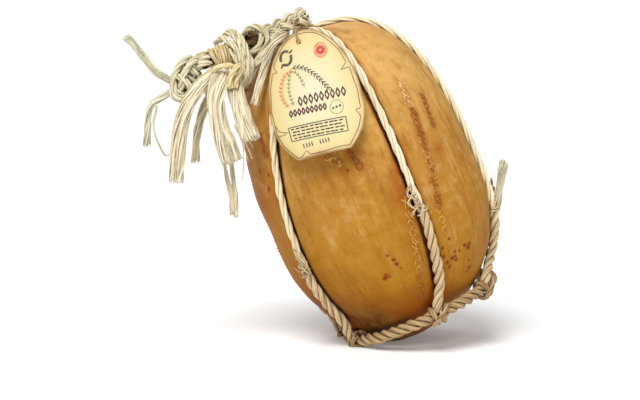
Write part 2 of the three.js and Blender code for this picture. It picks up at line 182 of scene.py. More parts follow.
def coil(route: np.ndarray, radius: float, turns: float, phase: float = 0.0) -> np.ndarray:
    """Winds a line round a route.

    Args:
        route: Rows of close points.
        radius: The distance from the route.
        turns: How many turns it makes.
        phase: Where it starts, in degrees.

    Returns:
        Rows of points.
    """
    count = max(8, round(turns * 16))
    share = np.linspace(0, len(route) - 1, count)
    middle = between(route, np.arange(len(route)), share)
    first, second = side_directions(middle)
    turn = math.radians(phase) + 2 * math.pi * turns * np.linspace(0, 1, count)
    return middle + radius * (first * np.cos(turn)[:, None] + second * np.sin(turn)[:, None])


class Graph:
    """Adds nodes to a shader tree and wires them in short calls."""

    def __init__(self, tree: bpy.types.NodeTree) -> None:
        """Keeps the tree that the nodes go into."""
        self.tree = tree

    def feed(self, node: bpy.types.Node, inputs: dict[str | int, object]) -> None:
        """Gives a node its inputs.

        Args:
            node: The node.
            inputs: Values or sockets, by the name or number of the input.
        """
        for name, value in inputs.items():
            if isinstance(value, bpy.types.NodeSocket):
                self.tree.links.new(value, node.inputs[name])
            else:
                node.inputs[name].default_value = value

    def node(self, kind: str, inputs: dict[str | int, object] | None = None,
             **settings: object) -> bpy.types.Node:
        """Adds one node.

        Args:
            kind: The node's type name.
            inputs: Values or sockets, by the name or number of the input.
            settings: Properties of the node.

        Returns:
            The new node.
        """
        made = self.tree.nodes.new(kind)
        for name, value in settings.items():
            setattr(made, name, value)
        self.feed(made, inputs or {})
        return made

    def place(self) -> object:
        """Adds the object's own coordinates and returns their socket."""
        return self.node("ShaderNodeTexCoord").outputs["Object"]

    def noise(self, vector: object, scale: float, detail: float = 3.0, rough: float = 0.55) -> object:
        """Adds a noise texture and returns its value socket."""
        return self.node("ShaderNodeTexNoise", {"Vector": vector, "Scale": scale, "Detail": detail,
                                                "Roughness": rough}).outputs["Fac"]

    def attribute(self, name: str, output: str = "Fac") -> object:
        """Adds an attribute node and returns one of its sockets."""
        return self.node("ShaderNodeAttribute", attribute_name=name).outputs[output]

    def times(self, one: object, other: object) -> object:
        """Multiplies two values and returns the value socket."""
        return self.node("ShaderNodeMath", {0: one, 1: other}, operation="MULTIPLY").outputs[0]

    def plus(self, one: object, other: object) -> object:
        """Adds two values and returns the value socket."""
        return self.node("ShaderNodeMath", {0: one, 1: other}, operation="ADD").outputs[0]

    def ease(self, value: object, low: float, high: float, start: float = 0.0, end: float = 1.0) -> object:
        """Maps a value smoothly from one range to another and returns its socket."""
        return self.node("ShaderNodeMapRange", {"Value": value, "From Min": low, "From Max": high,
                                                "To Min": start, "To Max": end},
                         interpolation_type="SMOOTHSTEP").outputs["Result"]

    def blend(self, share: object, under: object, code: str) -> object:
        """Lays a share of a hex colour over another colour and returns the colour socket."""
        return self.node("ShaderNodeMix", {0: share, 6: under, 7: colour(code)}, data_type="RGBA",
                         clamp_factor=True).outputs[2]

    def layers(self, under: object, over: Sequence[tuple[object, str]]) -> object:
        """Lays hex colours over a colour, each by its share.

        Args:
            under: The colour below.
            over: The share and the hex colour of each layer, lowest first.

        Returns:
            The colour socket.
        """
        for share, code in over:
            under = self.blend(share, under, code)
        return under

    def ramp(self, value: object, stops: Sequence[tuple[float, str]]) -> object:
        """Maps a value through colours.

        Args:
            value: The value's socket.
            stops: The place and the hex colour of each stop.

        Returns:
            The colour socket.
        """
        made = self.node("ShaderNodeValToRGB", {"Fac": value})
        elements = made.color_ramp.elements
        while len(elements) < len(stops):
            elements.new(0.5)
        for element, (position, code) in zip(elements, stops):
            element.position = position
            element.color = colour(code)
        return made.outputs["Color"]

    def stretch(self, vector: object, scale: Point) -> object:
        """Scales a vector on its three axes and returns the vector socket."""
        return self.node("ShaderNodeMapping", {"Vector": vector, "Scale": scale}).outputs["Vector"]

    def bump(self, height: object, strength: float, distance: float) -> object:
        """Turns a height into a bumped normal and returns its socket."""
        return self.node("ShaderNodeBump", {"Height": height, "Strength": strength,
                                            "Distance": distance}).outputs["Normal"]


def new_material(name: str) -> tuple[bpy.types.Material, Graph, bpy.types.Node]:
    """Makes a material with a Principled shader.

    Args:
        name: The material's name.

    Returns:
        The material, its graph and its Principled node.
    """
    material = bpy.data.materials.new(name)
    material.use_nodes = True
    material.node_tree.nodes.clear()
    graph = Graph(material.node_tree)
    shader = graph.node("ShaderNodeBsdfPrincipled")
    graph.node("ShaderNodeOutputMaterial", {"Surface": shader.outputs["BSDF"]})
    return material, graph, shader


def deselect_all() -> None:
    """Leaves nothing selected, so that an operator acts on the next piece alone."""
    bpy.ops.object.select_all(action="DESELECT")
    bpy.context.view_layer.objects.active = None


def make_active(piece: bpy.types.Object) -> None:
    """Selects one piece alone and makes it active."""
    deselect_all()
    piece.select_set(True)
    bpy.context.view_layer.objects.active = piece


def finish_piece(piece: bpy.types.Object, name: str, material: bpy.types.Material,
                 nodes: Sequence[str] = ()) -> bpy.types.Object:
    """Names a piece, gives it its material and ties it to the model.

    Args:
        piece: The piece.
        name: Its name.
        material: Its finish.
        nodes: The solids that it stands for.

    Returns:
        The same piece.
    """
    piece.name = name
    piece.data.name = name
    piece.data.materials.clear()
    piece.data.materials.append(material)
    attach(piece, ROOT)
    if nodes:
        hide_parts(*nodes)
    PIECES[name] = piece
    LOG.info("%s: %d faces", name, len(piece.data.polygons))
    return piece


def read_points(piece: bpy.types.Object) -> np.ndarray:
    """Reads a mesh's vertices as rows of points."""
    flat = np.empty(len(piece.data.vertices) * 3)
    piece.data.vertices.foreach_get("co", flat)
    return flat.reshape(-1, 3)


def write_points(piece: bpy.types.Object, points: np.ndarray) -> None:
    """Writes rows of points back as a mesh's vertices."""
    piece.data.vertices.foreach_set("co", np.asarray(points, float).ravel())
    piece.data.update()


def add_attribute(piece: bpy.types.Object, name: str, values: np.ndarray) -> None:
    """Stores a value or a vector for each vertex.

    Args:
        piece: The piece.
        name: The attribute's name.
        values: One value a vertex, or rows of three.
    """
    vector = values.ndim == 2
    made = piece.data.attributes.new(name, "FLOAT_VECTOR" if vector else "FLOAT", "POINT")
    made.data.foreach_set("vector" if vector else "value", np.asarray(values, float).ravel())


def even_directions(count: int) -> np.ndarray:
    """Gives rows of unit vectors that are spread evenly over all directions."""
    number = np.arange(count) + 0.5
    rise, turn = 1 - 2 * number / count, math.pi * (1 + math.sqrt(5)) * number
    return np.stack([np.sqrt(1 - rise ** 2) * np.cos(turn), np.sqrt(1 - rise ** 2) * np.sin(turn), rise],
                    axis=1)


def shade_gaps(pieces: Sequence[bpy.types.Object], reach: float = 7.5, off_surface: float = 0.3,
               grazing: float = 0.15) -> None:
    """Stores on each piece how closed in each of its points is, so that deep gaps can be dark.

    Args:
        pieces: The pieces, which close in one another.
        reach: How far a neighbour counts, in millimetres.
        off_surface: How far off the surface the looking starts, in millimetres.
        grazing: The share of facing below which a direction is left out.
    """
    corners, faces = [], []
    for piece in pieces:
        faces += [[len(corners) + index for index in face.vertices] for face in piece.data.polygons]
        corners += read_points(piece).tolist()
    tree = BVHTree.FromPolygons(corners, faces)
    rays = even_directions(14)
    ways = [Vector(ray) for ray in rays]
    for piece in pieces:
        normals = np.empty(len(piece.data.vertices) * 3)
        piece.data.vertices.foreach_get("normal", normals)
        normals = normals.reshape(-1, 3)
        facing = normals @ rays.T
        starts = read_points(piece) + normals * off_surface * MM
        closed = np.zeros(len(starts))
        for index, start in enumerate(starts):
            origin = Vector(start)
            for ray in np.flatnonzero(facing[index] > grazing):
                distance = tree.ray_cast(origin, ways[ray], reach * MM)[3]
                if distance is not None:
                    closed[index] += facing[index, ray] * (1 - distance / (reach * MM))
        seen = np.where(facing > grazing, facing, 0).sum(axis=1)
        add_attribute(piece, "gap", closed / np.maximum(seen, 1e-6))


def press_on_floor(piece: bpy.types.Object) -> None:
    """Flattens what would lie below the floor."""
    points = read_points(piece)
    points[:, 2] = np.maximum(points[:, 2], 0.0)
    write_points(piece, points)


def add_spline(curve: bpy.types.Curve, line: np.ndarray, **values: np.ndarray) -> bpy.types.Spline:
    """Adds a line of straight steps to a curve.

    Args:
        curve: The curve.
        line: Rows of points in metres.
        values: Further values, one for each point, by their names in Blender.

    Returns:
        The new spline.
    """
    spline = curve.splines.new("POLY")
    spline.points.add(len(line) - 1)
    spline.points.foreach_set("co", np.hstack([line, np.ones((len(line), 1))]).ravel())
    for name, given in values.items():
        spline.points.foreach_set(name, given)
    return spline


def add_object(data: bpy.types.ID) -> bpy.types.Object:
    """Stands a curve, a lamp or a camera in the scene under its own name."""
    made = bpy.data.objects.new(data.name, data)
    bpy.context.scene.collection.objects.link(made)
    return made


def curve_mesh(curve: bpy.types.Curve) -> bpy.types.Object:
    """Stands a curve in the scene and turns it into a mesh."""
    make_active(add_object(curve))
    bpy.ops.object.convert(target="MESH")
    return bpy.context.active_object


def tubes(lines: Sequence[np.ndarray], radius: float, resolution: int = 1, tip: float = 1.0,
          closed: bool = False) -> bpy.types.Object:
    """Makes thin tubes along lines, all in one mesh.

    Args:
        lines: Rows of points in metres for each tube.
        radius: The tubes' radius in millimetres.
        resolution: How finely the tubes are rounded.
        tip: The share of the radius that is left at a tube's far end.
        closed: Whether each line runs back into its start.

    Returns:
        The mesh.
    """
    curve = bpy.data.curves.new("tubes", "CURVE")
    curve.dimensions = "3D"
    curve.bevel_depth = radius * MM
    curve.bevel_resolution = resolution
    curve.use_fill_caps = True
    for line in lines:
        spline = add_spline(curve, line, radius=np.linspace(1.0, tip, len(line)))
        spline.use_cyclic_u = closed
    return curve_mesh(curve)


@dataclass(frozen=True)
class BodyForm:
    """The lobed body's outline and the way it stands, with the sizes of its solid."""

    length: float = 260.0
    radius: float = 90.0
    waist: float = 108.0
    foot_shift: float = 15.0
    fullness: float = 2.7
    valley_depth: float = 0.04
    valley_width: float = 12.0
    lean: float = math.radians(23.3)
    foot_place: float = 80.0
    floor_cut: float = 1.6
    bearings: tuple[float, ...] = (20.4, 83, 143, 199, 255, 306)
    swings: tuple[float, ...] = (4, 6, -4, 4, -3, 4)
    crown_swings: tuple[float, ...] = (4, 6, -4, 4, -3, 25)

    def outline(self, angle: np.ndarray) -> tuple[np.ndarray, np.ndarray]:
        """Gives the outline's radius and height.

        Args:
            angle: Radians from the lower pole, 0, to the upper one, pi.

        Returns:
            Radius and height in the cheese's own frame.
        """
        angle = np.asarray(angle, float)
        upper = angle > math.pi / 2
        power = np.where(upper, 2 / self.fullness, 1.0)
        rise = np.abs(np.cos(angle)) ** power
        radius = self.radius * np.maximum(np.sin(angle), 0) ** power
        reach = np.where(upper, self.length - self.waist, -self.waist)
        return radius, self.waist + rise * reach

    def bearing(self, rope: int, angle: np.ndarray) -> np.ndarray:
        """Gives a rope's bearing in degrees; a rope number past the last one is a turn further on."""
        count = len(self.bearings)
        start = self.bearings[rope % count] + 360 * (rope // count)
        upper = np.asarray(angle, float) > math.pi / 2
        swing = np.where(upper, self.crown_swings[rope % count], self.swings[rope % count])
        return start - swing * np.cos(angle)

    def valley(self, degrees: np.ndarray, angle: np.ndarray) -> np.ndarray:
        """Gives how far the outline is drawn in at some degrees from the nearest rope."""
        dip = np.exp(-((degrees / self.valley_width) ** 2))
        return 1 - self.valley_depth * dip * np.maximum(np.sin(angle), 0) ** 0.5

    def shift(self, height: np.ndarray) -> np.ndarray:
        """Gives how far the outline's centre has settled sideways at a height."""
        share = np.clip(1 - np.asarray(height, float) / self.waist, 0, 1)
        return -self.foot_shift * share ** 4

    def lowest(self) -> float:
        """Gives the lowest point of the leaning outline, from the lower pole."""
        radius, height = self.outline(np.arange(200) / 400 * math.pi)
        side = self.shift(height) - radius
        return float((side * math.sin(self.lean) + height * math.cos(self.lean)).min())

    def stand(self, points: np.ndarray) -> np.ndarray:
        """Leans points of the cheese's own frame into the standing frame.

        Args:
            points: Rows of points.

        Returns:
            Rows of points in the standing frame.
        """
        x, y, z = np.asarray(points, float).T
        cosine, sine = math.cos(self.lean), math.sin(self.lean)
        return np.stack([x * cosine - z * sine + self.foot_place, y,
                         x * sine + z * cosine - self.lowest() - self.floor_cut], axis=1)

    def arc(self, steps: int) -> tuple[np.ndarray, np.ndarray]:
        """Gives even outline angles from pole to pole and how far along the outline each one lies."""
        angle = np.linspace(0, math.pi, steps + 1)
        radius, height = self.outline(angle)
        return angle, np.concatenate([[0], np.cumsum(np.hypot(np.diff(radius), np.diff(height)))])

    def surface(self, bearing: np.ndarray, angle: np.ndarray, lift: np.ndarray | float = 0.0,
                valley: np.ndarray | float = 1.0) -> np.ndarray:
        """Gives points on the body or a little above it, in the standing frame.

        Args:
            bearing: Degrees from the front towards the right.
            angle: Outline angles in radians.
            lift: The distance above the outline.
            valley: How far the outline is drawn in.

        Returns:
            Rows of points.
        """
        bearing = np.radians(np.asarray(bearing, float))
        angle = np.asarray(angle, float)
        radius, height = self.outline(angle)
        next_radius, next_height = self.outline(angle + 0.01)
        slope = np.hypot(next_radius - radius, next_height - height)
        reach = radius * valley + lift * (next_height - height) / slope
        rise = height - lift * (next_radius - radius) / slope
        return self.stand(np.stack([self.shift(height) + reach * np.sin(bearing),
                                    -reach * np.cos(bearing), rise], axis=1))

    def rope_line(self, rope: int, start: float, end: float, lift: float, step: float = 4.0) -> np.ndarray:
        """Gives a rope's line over the rind between two outline angles in degrees.

        Args:
            rope: The rope's number.
            start: The first angle.
            end: The last angle.
            lift: The line's distance above the rind.
            step: Degrees between points.

        Returns:
            Rows of points in the standing frame.
        """
        count = max(3, round(abs(end - start) / step)) + 1
        angle = np.radians(np.linspace(start, end, count))
        return self.surface(self.bearing(rope, angle), angle, lift, self.valley(np.zeros(count), angle))


@dataclass(frozen=True)
class RingForm:
    """The foot ring's place in the cheese's own frame."""

    radius: float = 63.0
    height: float = 19.0
    shift: float = -2.0
    rope_radius: float = 4.4
    swing: float = 1.7
    swing_limit: float = 6.0
    pulls: tuple[float, ...] = (2, 16, 0, 0, 0, 0)

    def beside(self, body: BodyForm, bearing: Sequence[float], turn: Sequence[float],
               distance: Sequence[float] | float) -> np.ndarray:
        """Gives points round the ring's rope, in the standing frame.

        Args:
            body: The body that the ring belongs to.
            bearing: Degrees round the ring.
            turn: Degrees round its rope, 0 outside and 90 above.
            distance: The distance from the rope's centre.

        Returns:
            Rows of points.
        """
        bearing, turn = np.radians(bearing), np.radians(turn)
        reach = self.radius + distance * np.cos(turn)
        rise = self.height + distance * np.sin(turn)
        return body.stand(np.stack([self.shift + reach * np.sin(bearing), -reach * np.cos(bearing),
                                    rise], axis=1))

    def hitch_bearing(self, body: BodyForm, rope: int) -> float:
        """Gives the bearing at which a rope meets the ring."""
        swing = max(-self.swing_limit, min(self.swing_limit, body.swings[rope]))
        return body.bearings[rope] - self.swing * swing - self.pulls[rope]


BODY = BodyForm()
RING = RingForm()


def straw_group() -> bpy.types.NodeTree:
    """Builds the effect that all straw shares: streaks of fibre along a strand, and worn patches.

    Returns:
        The node group, with the inputs Lay and Object and the outputs Streaks, Fine and Patches.
    """
    tree = bpy.data.node_groups.new("straw_fibres", "ShaderNodeTree")
    for label in ("Lay", "Object"):
        tree.interface.new_socket(label, in_out="INPUT", socket_type="NodeSocketVector")
    for label in ("Streaks", "Fine", "Patches"):
        tree.interface.new_socket(label, in_out="OUTPUT", socket_type="NodeSocketFloat")
    graph = Graph(tree)
    given = graph.node("NodeGroupInput").outputs
    broad = graph.noise(graph.stretch(given["Lay"], (0.9, 0.9, 0.035)), 1.0, 4.0, 0.6)
    fine = graph.noise(graph.stretch(given["Lay"], (3.2, 3.2, 0.09)), 1.0, 2.0, 0.5)
    patches = graph.noise(given["Object"], 42.0, 4.0, 0.6)
    graph.node("NodeGroupOutput", {"Streaks": graph.ease(broad, 0.3, 0.7), "Fine": fine,
                                   "Patches": graph.ease(patches, 0.35, 0.65)})
    return tree


@dataclass(frozen=True)
class StrawFinish:
    """How one kind of straw looks: its light, mid and dark tints, the dark brown of its painted shade, and
    how rough it is.
    """

    name: str
    light: str
    mid: str
    dark: str
    groove_shade: str
    rough: float = 0.78
    relief: float = 0.55

    def material(self, fibres: bpy.types.NodeTree) -> bpy.types.Material:
        """Builds the material.

        Args:
            fibres: The shared straw group.

        Returns:
            The material.
        """
        material, graph, shader = new_material(self.name)
        straw = graph.node("ShaderNodeGroup", {"Lay": graph.attribute("lay", "Vector"),
                                               "Object": graph.place()}, node_tree=fibres)
        streaks, fine, patches = (straw.outputs[name] for name in ("Streaks", "Fine", "Patches"))
        tint = graph.layers(
            graph.ramp(streaks, ((0.0, self.dark), (0.24, self.mid), (0.72, self.light))),
            ((graph.times(patches, 0.35), self.mid),
             (graph.ease(fine, 0.56, 0.32, 0.0, 0.4), self.dark),
             # Painted shade: darker towards the inside of each strand and in the deeper straws of a bundle,
             # and wherever other pieces close the straw in.
             (graph.ease(graph.attribute("inner"), 0.5, 0.9, 0.0, 0.9), self.groove_shade),
             (graph.ease(graph.attribute("gap"), 0.38, 0.82, 0.0, 0.88), self.groove_shade)))
        height = graph.plus(graph.times(streaks, 0.6), graph.times(fine, 0.5))
        graph.feed(shader, {"Base Color": tint, "Normal": graph.bump(height, self.relief, 0.0006),
                            "Roughness": graph.ease(fine, 0.2, 0.8, self.rough - 0.1, self.rough + 0.1),
                            "Specular IOR Level": 0.3})
        return material


@dataclass(frozen=True)
class RindFinish:
    """The ripened rind: golden above, amber below, brown beside the ropes, with freckles; painted shade
    darkens its foot, the crease along each rope, its gaps and its left lobe.
    """

    name: str = "ripened_rind"
    # From foot to crown: the near-black and dark brown lowest stops are painted shade under the foot; above
    # them the rind ripens from amber to golden.
    bands: tuple[tuple[float, str], ...] = (
        (0.0, "100301"), (0.06, "240802"), (0.11, "4e2004"), (0.16, "8c540c"), (0.24, "ac761c"),
        (0.36, "b07c26"), (0.56, "b68438"), (0.7, "c8994c"), (0.85, "dcae64"), (1.0, "d6a65e"))
    # Brown of the rind's own browning, also the colour of painted shade round the marks, by the foot and on
    # the left side.
    browned_and_shade: str = "974a0a"
    bark: str = "8a5210"
    # Near-black brown of the painted shade beside the ropes and in gaps.
    crease_shade: str = "320e04"
    amber_and_shade: str = "9a5c10"
    olive: str = "9c7426"
    freckle: str = "6e2c04"
    pore: str = "7c4a14"
    pale_streak: str = "dcb478"
    pale_fleck: str = "e0bc80"

    def material(self) -> bpy.types.Material:
        """Builds the rind's material from its object coordinates and its mesh's attributes."""
        material, graph, shader = new_material(self.name)
        where, rise = graph.place(), graph.attribute("rise")
        flow = graph.attribute("flow", "Vector")
        clouds = graph.noise(where, 17.0, 4.0, 0.6)
        mottle = graph.noise(where, 95.0, 5.0, 0.65)
        grain = graph.noise(where, 620.0, 3.0, 0.6)
        ragged = graph.noise(where, 330.0, 2.0, 0.5)
        broad = graph.noise(graph.stretch(flow, (0.075, 0.075, 0.016)), 1.0, 4.0, 0.62)
        streaks = graph.noise(graph.stretch(flow, (0.3, 0.3, 0.07)), 1.0, 4.0, 0.65)
        cloudy = graph.times(graph.times(graph.plus(clouds, -0.5), 0.35),
                             graph.ease(rise, 0.05, 0.3, 0.15, 1.0))
        above = graph.ease(rise, 0.16, 0.5)
        edge = graph.times(graph.ease(graph.attribute("valley"), 0.25, 1.0),
                           graph.ease(mottle, 0.3, 0.62, 0.45, 1.0))
        speckle = graph.plus(graph.attribute("freckles"), graph.times(ragged, 0.9))
        spots = graph.ease(speckle, 0.8, 1.25, 0.0, 0.85)
        tint = graph.layers(
            graph.ramp(graph.plus(rise, cloudy), self.bands),
            ((graph.ease(graph.noise(where, 26.0, 3.0), 0.5, 0.72, 0.0, 0.45), self.olive),
             (graph.ease(broad, 0.5, 0.7, 0.0, 0.5), self.bark),
             (graph.times(graph.ease(broad, 0.47, 0.3, 0.0, 0.42), above), self.pale_streak),
             (graph.ease(streaks, 0.52, 0.68, 0.0, 0.4), self.bark),
             # Deeper amber on some lobes: partly the rind's own colour, partly painted shade, strongest on
             # the left lobe.
             (graph.times(graph.attribute("lobe_tone_and_shade"), 0.6), self.amber_and_shade),
             (graph.times(edge, 0.8), self.browned_and_shade),
             (graph.times(graph.ease(mottle, 0.5, 0.72, 0.0, 0.3), above), self.pale_fleck),
             (graph.ease(mottle, 0.5, 0.28, 0.0, 0.32), self.browned_and_shade),
             # Darker patches and painted shade: the listed patches, which include shade by the foot and on
             # the left side, and shade round the pressed marks.
             (graph.times(graph.attribute("stain_and_shade"), graph.ease(mottle, 0.3, 0.6, 0.5, 1.1)), self.browned_and_shade),
             (graph.ease(speckle, 0.55, 0.95, 0.0, 0.6), self.browned_and_shade),
             (spots, self.freckle),
             # Painted shade: a near-black line in the crease where each rope meets the rind.
             (graph.times(graph.attribute("crease_shade"), graph.ease(mottle, 0.2, 0.6, 0.55, 0.95)), self.crease_shade),
             # Painted shade: darker wherever the ropes, the ring and other pieces close the rind in.
             (graph.ease(graph.attribute("gap"), 0.1, 0.55, 0.0, 0.94), self.crease_shade),
             (graph.ease(grain, 0.62, 0.72, 0.0, 0.35), self.pore)))
        height = graph.plus(graph.plus(graph.times(grain, 0.35), mottle), graph.times(spots, -0.5))
        graph.feed(shader, {"Base Color": tint, "Roughness": graph.ease(mottle, 0.25, 0.75, 0.46, 0.64),
                            "Normal": graph.bump(height, 0.45, 0.0013), "Specular IOR Level": 0.08})
        return material


@dataclass(frozen=True)
class StampFinish:
    """The raised edges of the pressed marks: paler rind, darker near the deepest marks, partly browning and
    partly painted shade.
    """

    name: str = "stamped_rind"
    pale: tuple[tuple[float, str], ...] = (
        (0.1, "7c4a12"), (0.3, "bc8a3c"), (0.6, "d2a45a"), (0.9, "e8c488"))
    browned_and_shade: str = "8a4610"

    def material(self) -> bpy.types.Material:
        """Builds the material of the marks' edges."""
        material, graph, shader = new_material(self.name)
        where = graph.place()
        worn = graph.plus(graph.times(graph.noise(where, 260.0, 4.0, 0.6), 1.1),
                          graph.times(graph.attribute("stain_and_shade"), 0.4))
        tint = graph.blend(graph.ease(worn, 0.58, 0.86, 0.0, 0.92),
                           graph.ramp(graph.attribute("rise"), self.pale), self.browned_and_shade)
        graph.feed(shader, {"Base Color": tint, "Roughness": 0.5, "Specular IOR Level": 0.12,
                            "Normal": graph.bump(graph.noise(where, 620.0), 0.2, 0.0005)})
        return material


@dataclass(frozen=True)
class CardFinish:
    """The tag's printed card: cream in the middle, yellower and browner towards its edge."""

    name: str = "cream_card"
    middle: str = "dcd3b6"
    field: str = "d6c894"
    faded: str = "d4c084"
    rim: str = "cdb67e"
    edge: str = "8a6630"

    def material(self) -> bpy.types.Material:
        """Builds the card's material, which reads how close each place is to the edge."""
        material, graph, shader = new_material(self.name)
        where = graph.place()
        cloud = graph.plus(graph.noise(where, 60.0, 4.0, 0.6), -0.5)
        near = graph.plus(graph.attribute("rim"), graph.times(cloud, 0.12))
        fibre = graph.noise(graph.stretch(where, (1.0, 1.0, 0.4)), 900.0, 2.0)
        tint = graph.ramp(near, ((0.0, self.middle), (0.62, self.field), (0.86, self.faded),
                                 (0.955, self.rim), (1.0, self.edge)))
        tint = graph.blend(graph.ease(fibre, 0.6, 0.8, 0.0, 0.12), tint, self.rim)
        graph.feed(shader, {"Base Color": tint, "Roughness": 0.55,
                            "Normal": graph.bump(fibre, 0.12, 0.0002)})
        return material


@dataclass(frozen=True)
class InkFinish:
    """One printing ink on the card."""

    name: str
    tint: str
    second: str

    def material(self) -> bpy.types.Material:
        """Builds the ink's material: a tint that is a little uneven, as on soft card."""
        material, graph, shader = new_material(self.name)
        wear = graph.ease(graph.noise(graph.place(), 700.0, 3.0), 0.42, 0.7, 0.0, 0.7)
        graph.feed(shader, {"Base Color": graph.blend(wear, colour(self.tint), self.second),
                            "Roughness": 0.5})
        return material


@dataclass(frozen=True)
class Lay:
    """How a rope is laid up: its strands, the length of a full turn, and the faces round a strand."""

    strands: int
    pitch: float
    sides: int = 10
    fullness: float = 1.08
    unevenness: float = 0.06


THIN = Lay(3, 52.0, 10, 1.3, 0.14)
THICK = Lay(3, 31.0, 12, 1.16, 0.1)
RING_LAY = Lay(3, 24.0, 12, 1.1, 0.08)
SOFT = Lay(3, 40.0, 10, 1.3, 0.16)
CORD = Lay(3, 34.0, 9, 1.38, 0.16)
FINE = Lay(2, 14.0, 6, 1.2, 0.1)
PLAIN = Lay(1, 20.0, 10, 1.0, 0.14)
WRAP = Lay(2, 14.0, 7, 1.15, 0.14)


def route_curve(route: np.ndarray, closed: bool, swell: Sequence[float] | None = None) -> bpy.types.Object:
    """Makes a helper curve along a route.

    Args:
        route: Rows of close points in metres.
        closed: Whether it runs back into its start.
        swell: Shares of the rope's thickness, spread evenly from its start to its end.

    Returns:
        The curve object.
    """
    curve = bpy.data.curves.new("route", "CURVE")
    curve.dimensions = "3D"
    curve.twist_mode = "MINIMUM"
    curve.use_stretch = True
    curve.use_deform_bounds = True
    values = {}
    if swell is not None:
        curve.use_radius = True
        values["radius"] = np.interp(np.linspace(0, 1, len(route)), np.linspace(0, 1, len(swell)), swell)
    add_spline(curve, route, **values).use_cyclic_u = closed
    return add_object(curve)


def lay_rope(points: Sequence[Point], radius: float, lay: Lay, closed: bool = False,
             swell: Sequence[float] | None = None, seed: float = 0.0) -> bpy.types.Object:
    """Lays a rope of twisted strands along a route.

    Args:
        points: The points that it passes.
        radius: The rope's radius.
        lay: How it is laid up.
        closed: Whether it runs back into its start.
        swell: Shares of its thickness, spread evenly from start to end.
        seed: Where its unevenness starts.

    Returns:
        The rope as one mesh, with the attributes lay and inner.
    """
    route = place(smooth_route(points, min(2.0, radius), closed))
    length = route_length(route, closed) / MM
    turns = length / lay.pitch
    if closed:
        turns = max(1, round(turns * lay.strands)) / lay.strands
    if lay.strands == 1:
        strand, offset = radius, 0.0
    else:
        strand = radius / (1 + 1 / (lay.fullness * math.sin(math.pi / lay.strands)))
        offset = radius - strand
    rims = []
    for number in range(lay.strands):
        bpy.ops.mesh.primitive_circle_add(vertices=lay.sides, radius=strand * MM, location=(0, 0, 0))
        turned = 2 * math.pi * number / lay.strands
        around = np.arange(lay.sides) / lay.sides * 2 * math.pi + turned
        rims.insert(0, bpy.context.active_object)
        write_points(rims[0], np.stack([np.cos(around) * strand * MM + offset * math.cos(turned) * MM,
                                        np.sin(around) * strand * MM + offset * math.sin(turned) * MM,
                                        np.zeros(lay.sides)], axis=1))
    rope = join_pieces(rims)
    steps = max(8, math.ceil(length / min(lay.pitch / 14, radius * 0.9)))
    screw = rope.modifiers.new("twist", "SCREW")
    screw.axis = "Z"
    screw.angle = 2 * math.pi * turns
    screw.screw_offset = length * MM
    screw.steps = screw.render_steps = steps
    screw.use_smooth_shade = True
    bpy.ops.object.modifier_apply(modifier="twist")
    profile = lay.strands * lay.sides
    index = np.arange(len(rope.data.vertices))
    side = 2 * math.pi * (index % lay.sides) / lay.sides
    number = (index % profile) // lay.sides
    along = (index // profile) / steps * length
    add_attribute(rope, "lay", np.stack([np.cos(side) * strand + 37 * number + seed,
                                         np.sin(side) * strand, along], axis=1))
    # inner: 0 on a strand's outer side, rising towards the rope's middle, where the material paints shade.
    contact = 1 - math.cos(math.pi * (1 - (lay.strands - 2) / (2 * max(lay.strands, 2))))
    inner = np.zeros(len(index)) if lay.strands == 1 else (1 - np.cos(side)) / contact
    add_attribute(rope, "inner", inner)
    straight = read_points(rope)
    wave = np.array([noise.noise(Vector((seed * 3.1, z / 9.0, 5.3 * k)))
                     for z, k in zip(along, number)])
    straight[:, :2] *= (1 + lay.unevenness * 2 * wave)[:, None]
    write_points(rope, straight)
    helper = route_curve(route, closed, swell)
    bend = rope.modifiers.new("bend", "CURVE")
    bend.object = helper
    bend.deform_axis = "POS_Z"
    bpy.ops.object.modifier_apply(modifier="bend")
    bpy.data.objects.remove(helper)
    close_mesh(rope, 0.08 * MM if closed else 1e-6)
    return rope


def close_mesh(piece: bpy.types.Object, merge: float = 1e-6) -> None:
    """Merges a mesh's doubled vertices, closes its holes and points its faces outwards.

    Args:
        piece: The piece.
        merge: The distance, in metres, within which vertices become one.
    """
    make_active(piece)
    bpy.ops.object.mode_set(mode="EDIT")
    bpy.ops.mesh.select_all(action="SELECT")
    bpy.ops.mesh.remove_doubles(threshold=merge)
    bpy.ops.mesh.fill_holes(sides=0)
    bpy.ops.mesh.normals_make_consistent(inside=False)
    bpy.ops.object.mode_set(mode="OBJECT")
    bpy.ops.object.shade_smooth()


def join_pieces(pieces: Sequence[bpy.types.Object]) -> bpy.types.Object:
    """Joins several meshes into the first one.

    Args:
        pieces: The meshes.

    Returns:
        The joined mesh.
    """
    make_active(pieces[0])
    for piece in pieces:
        piece.select_set(True)
    bpy.ops.object.join()
    return bpy.context.active_object


@dataclass(frozen=True)
class StripShape:
    """The section of a straw strip: its width, its thickness and how sharply it is folded."""

    width: float
    thickness: float
    fold: float

    def outline(self) -> np.ndarray:
        """Gives the corners of the section, a folded ribbon, in metres."""
        half, thick = self.width / 2, self.thickness / 2
        across = np.array([-1.0, -0.55, 0.0, 0.55, 1.0])
        rise = self.fold * (1 - np.abs(across)) * self.width * 0.5
        upper = np.stack([across * half, rise + thick, np.zeros(len(across))], axis=1)
        lower = np.stack([across * half, rise - thick, np.zeros(len(across))], axis=1)
        return np.vstack([upper, lower[::-1]]) * MM


def facing_tilt(line: np.ndarray, wide: np.ndarray) -> np.ndarray:
    """Works out how a curve's points are tilted for its section to lie along given directions.

    Args:
        line: Rows of close points.
        wide: The direction that the section's width is to take at each of them.

    Returns:
        The tilt at each point, in radians.
    """
    along = unit_rows(np.gradient(line, axis=0))
    across = np.array(Vector(along[0]).to_track_quat("Z", "Y") @ Vector((1, 0, 0)))
    tilts = []
    for direction, wanted in zip(along, wide):
        across = unit(across - direction * float(across @ direction))
        tilts.append(math.atan2(float(np.cross(across, wanted) @ direction), float(across @ wanted)))
    return np.unwrap(tilts)


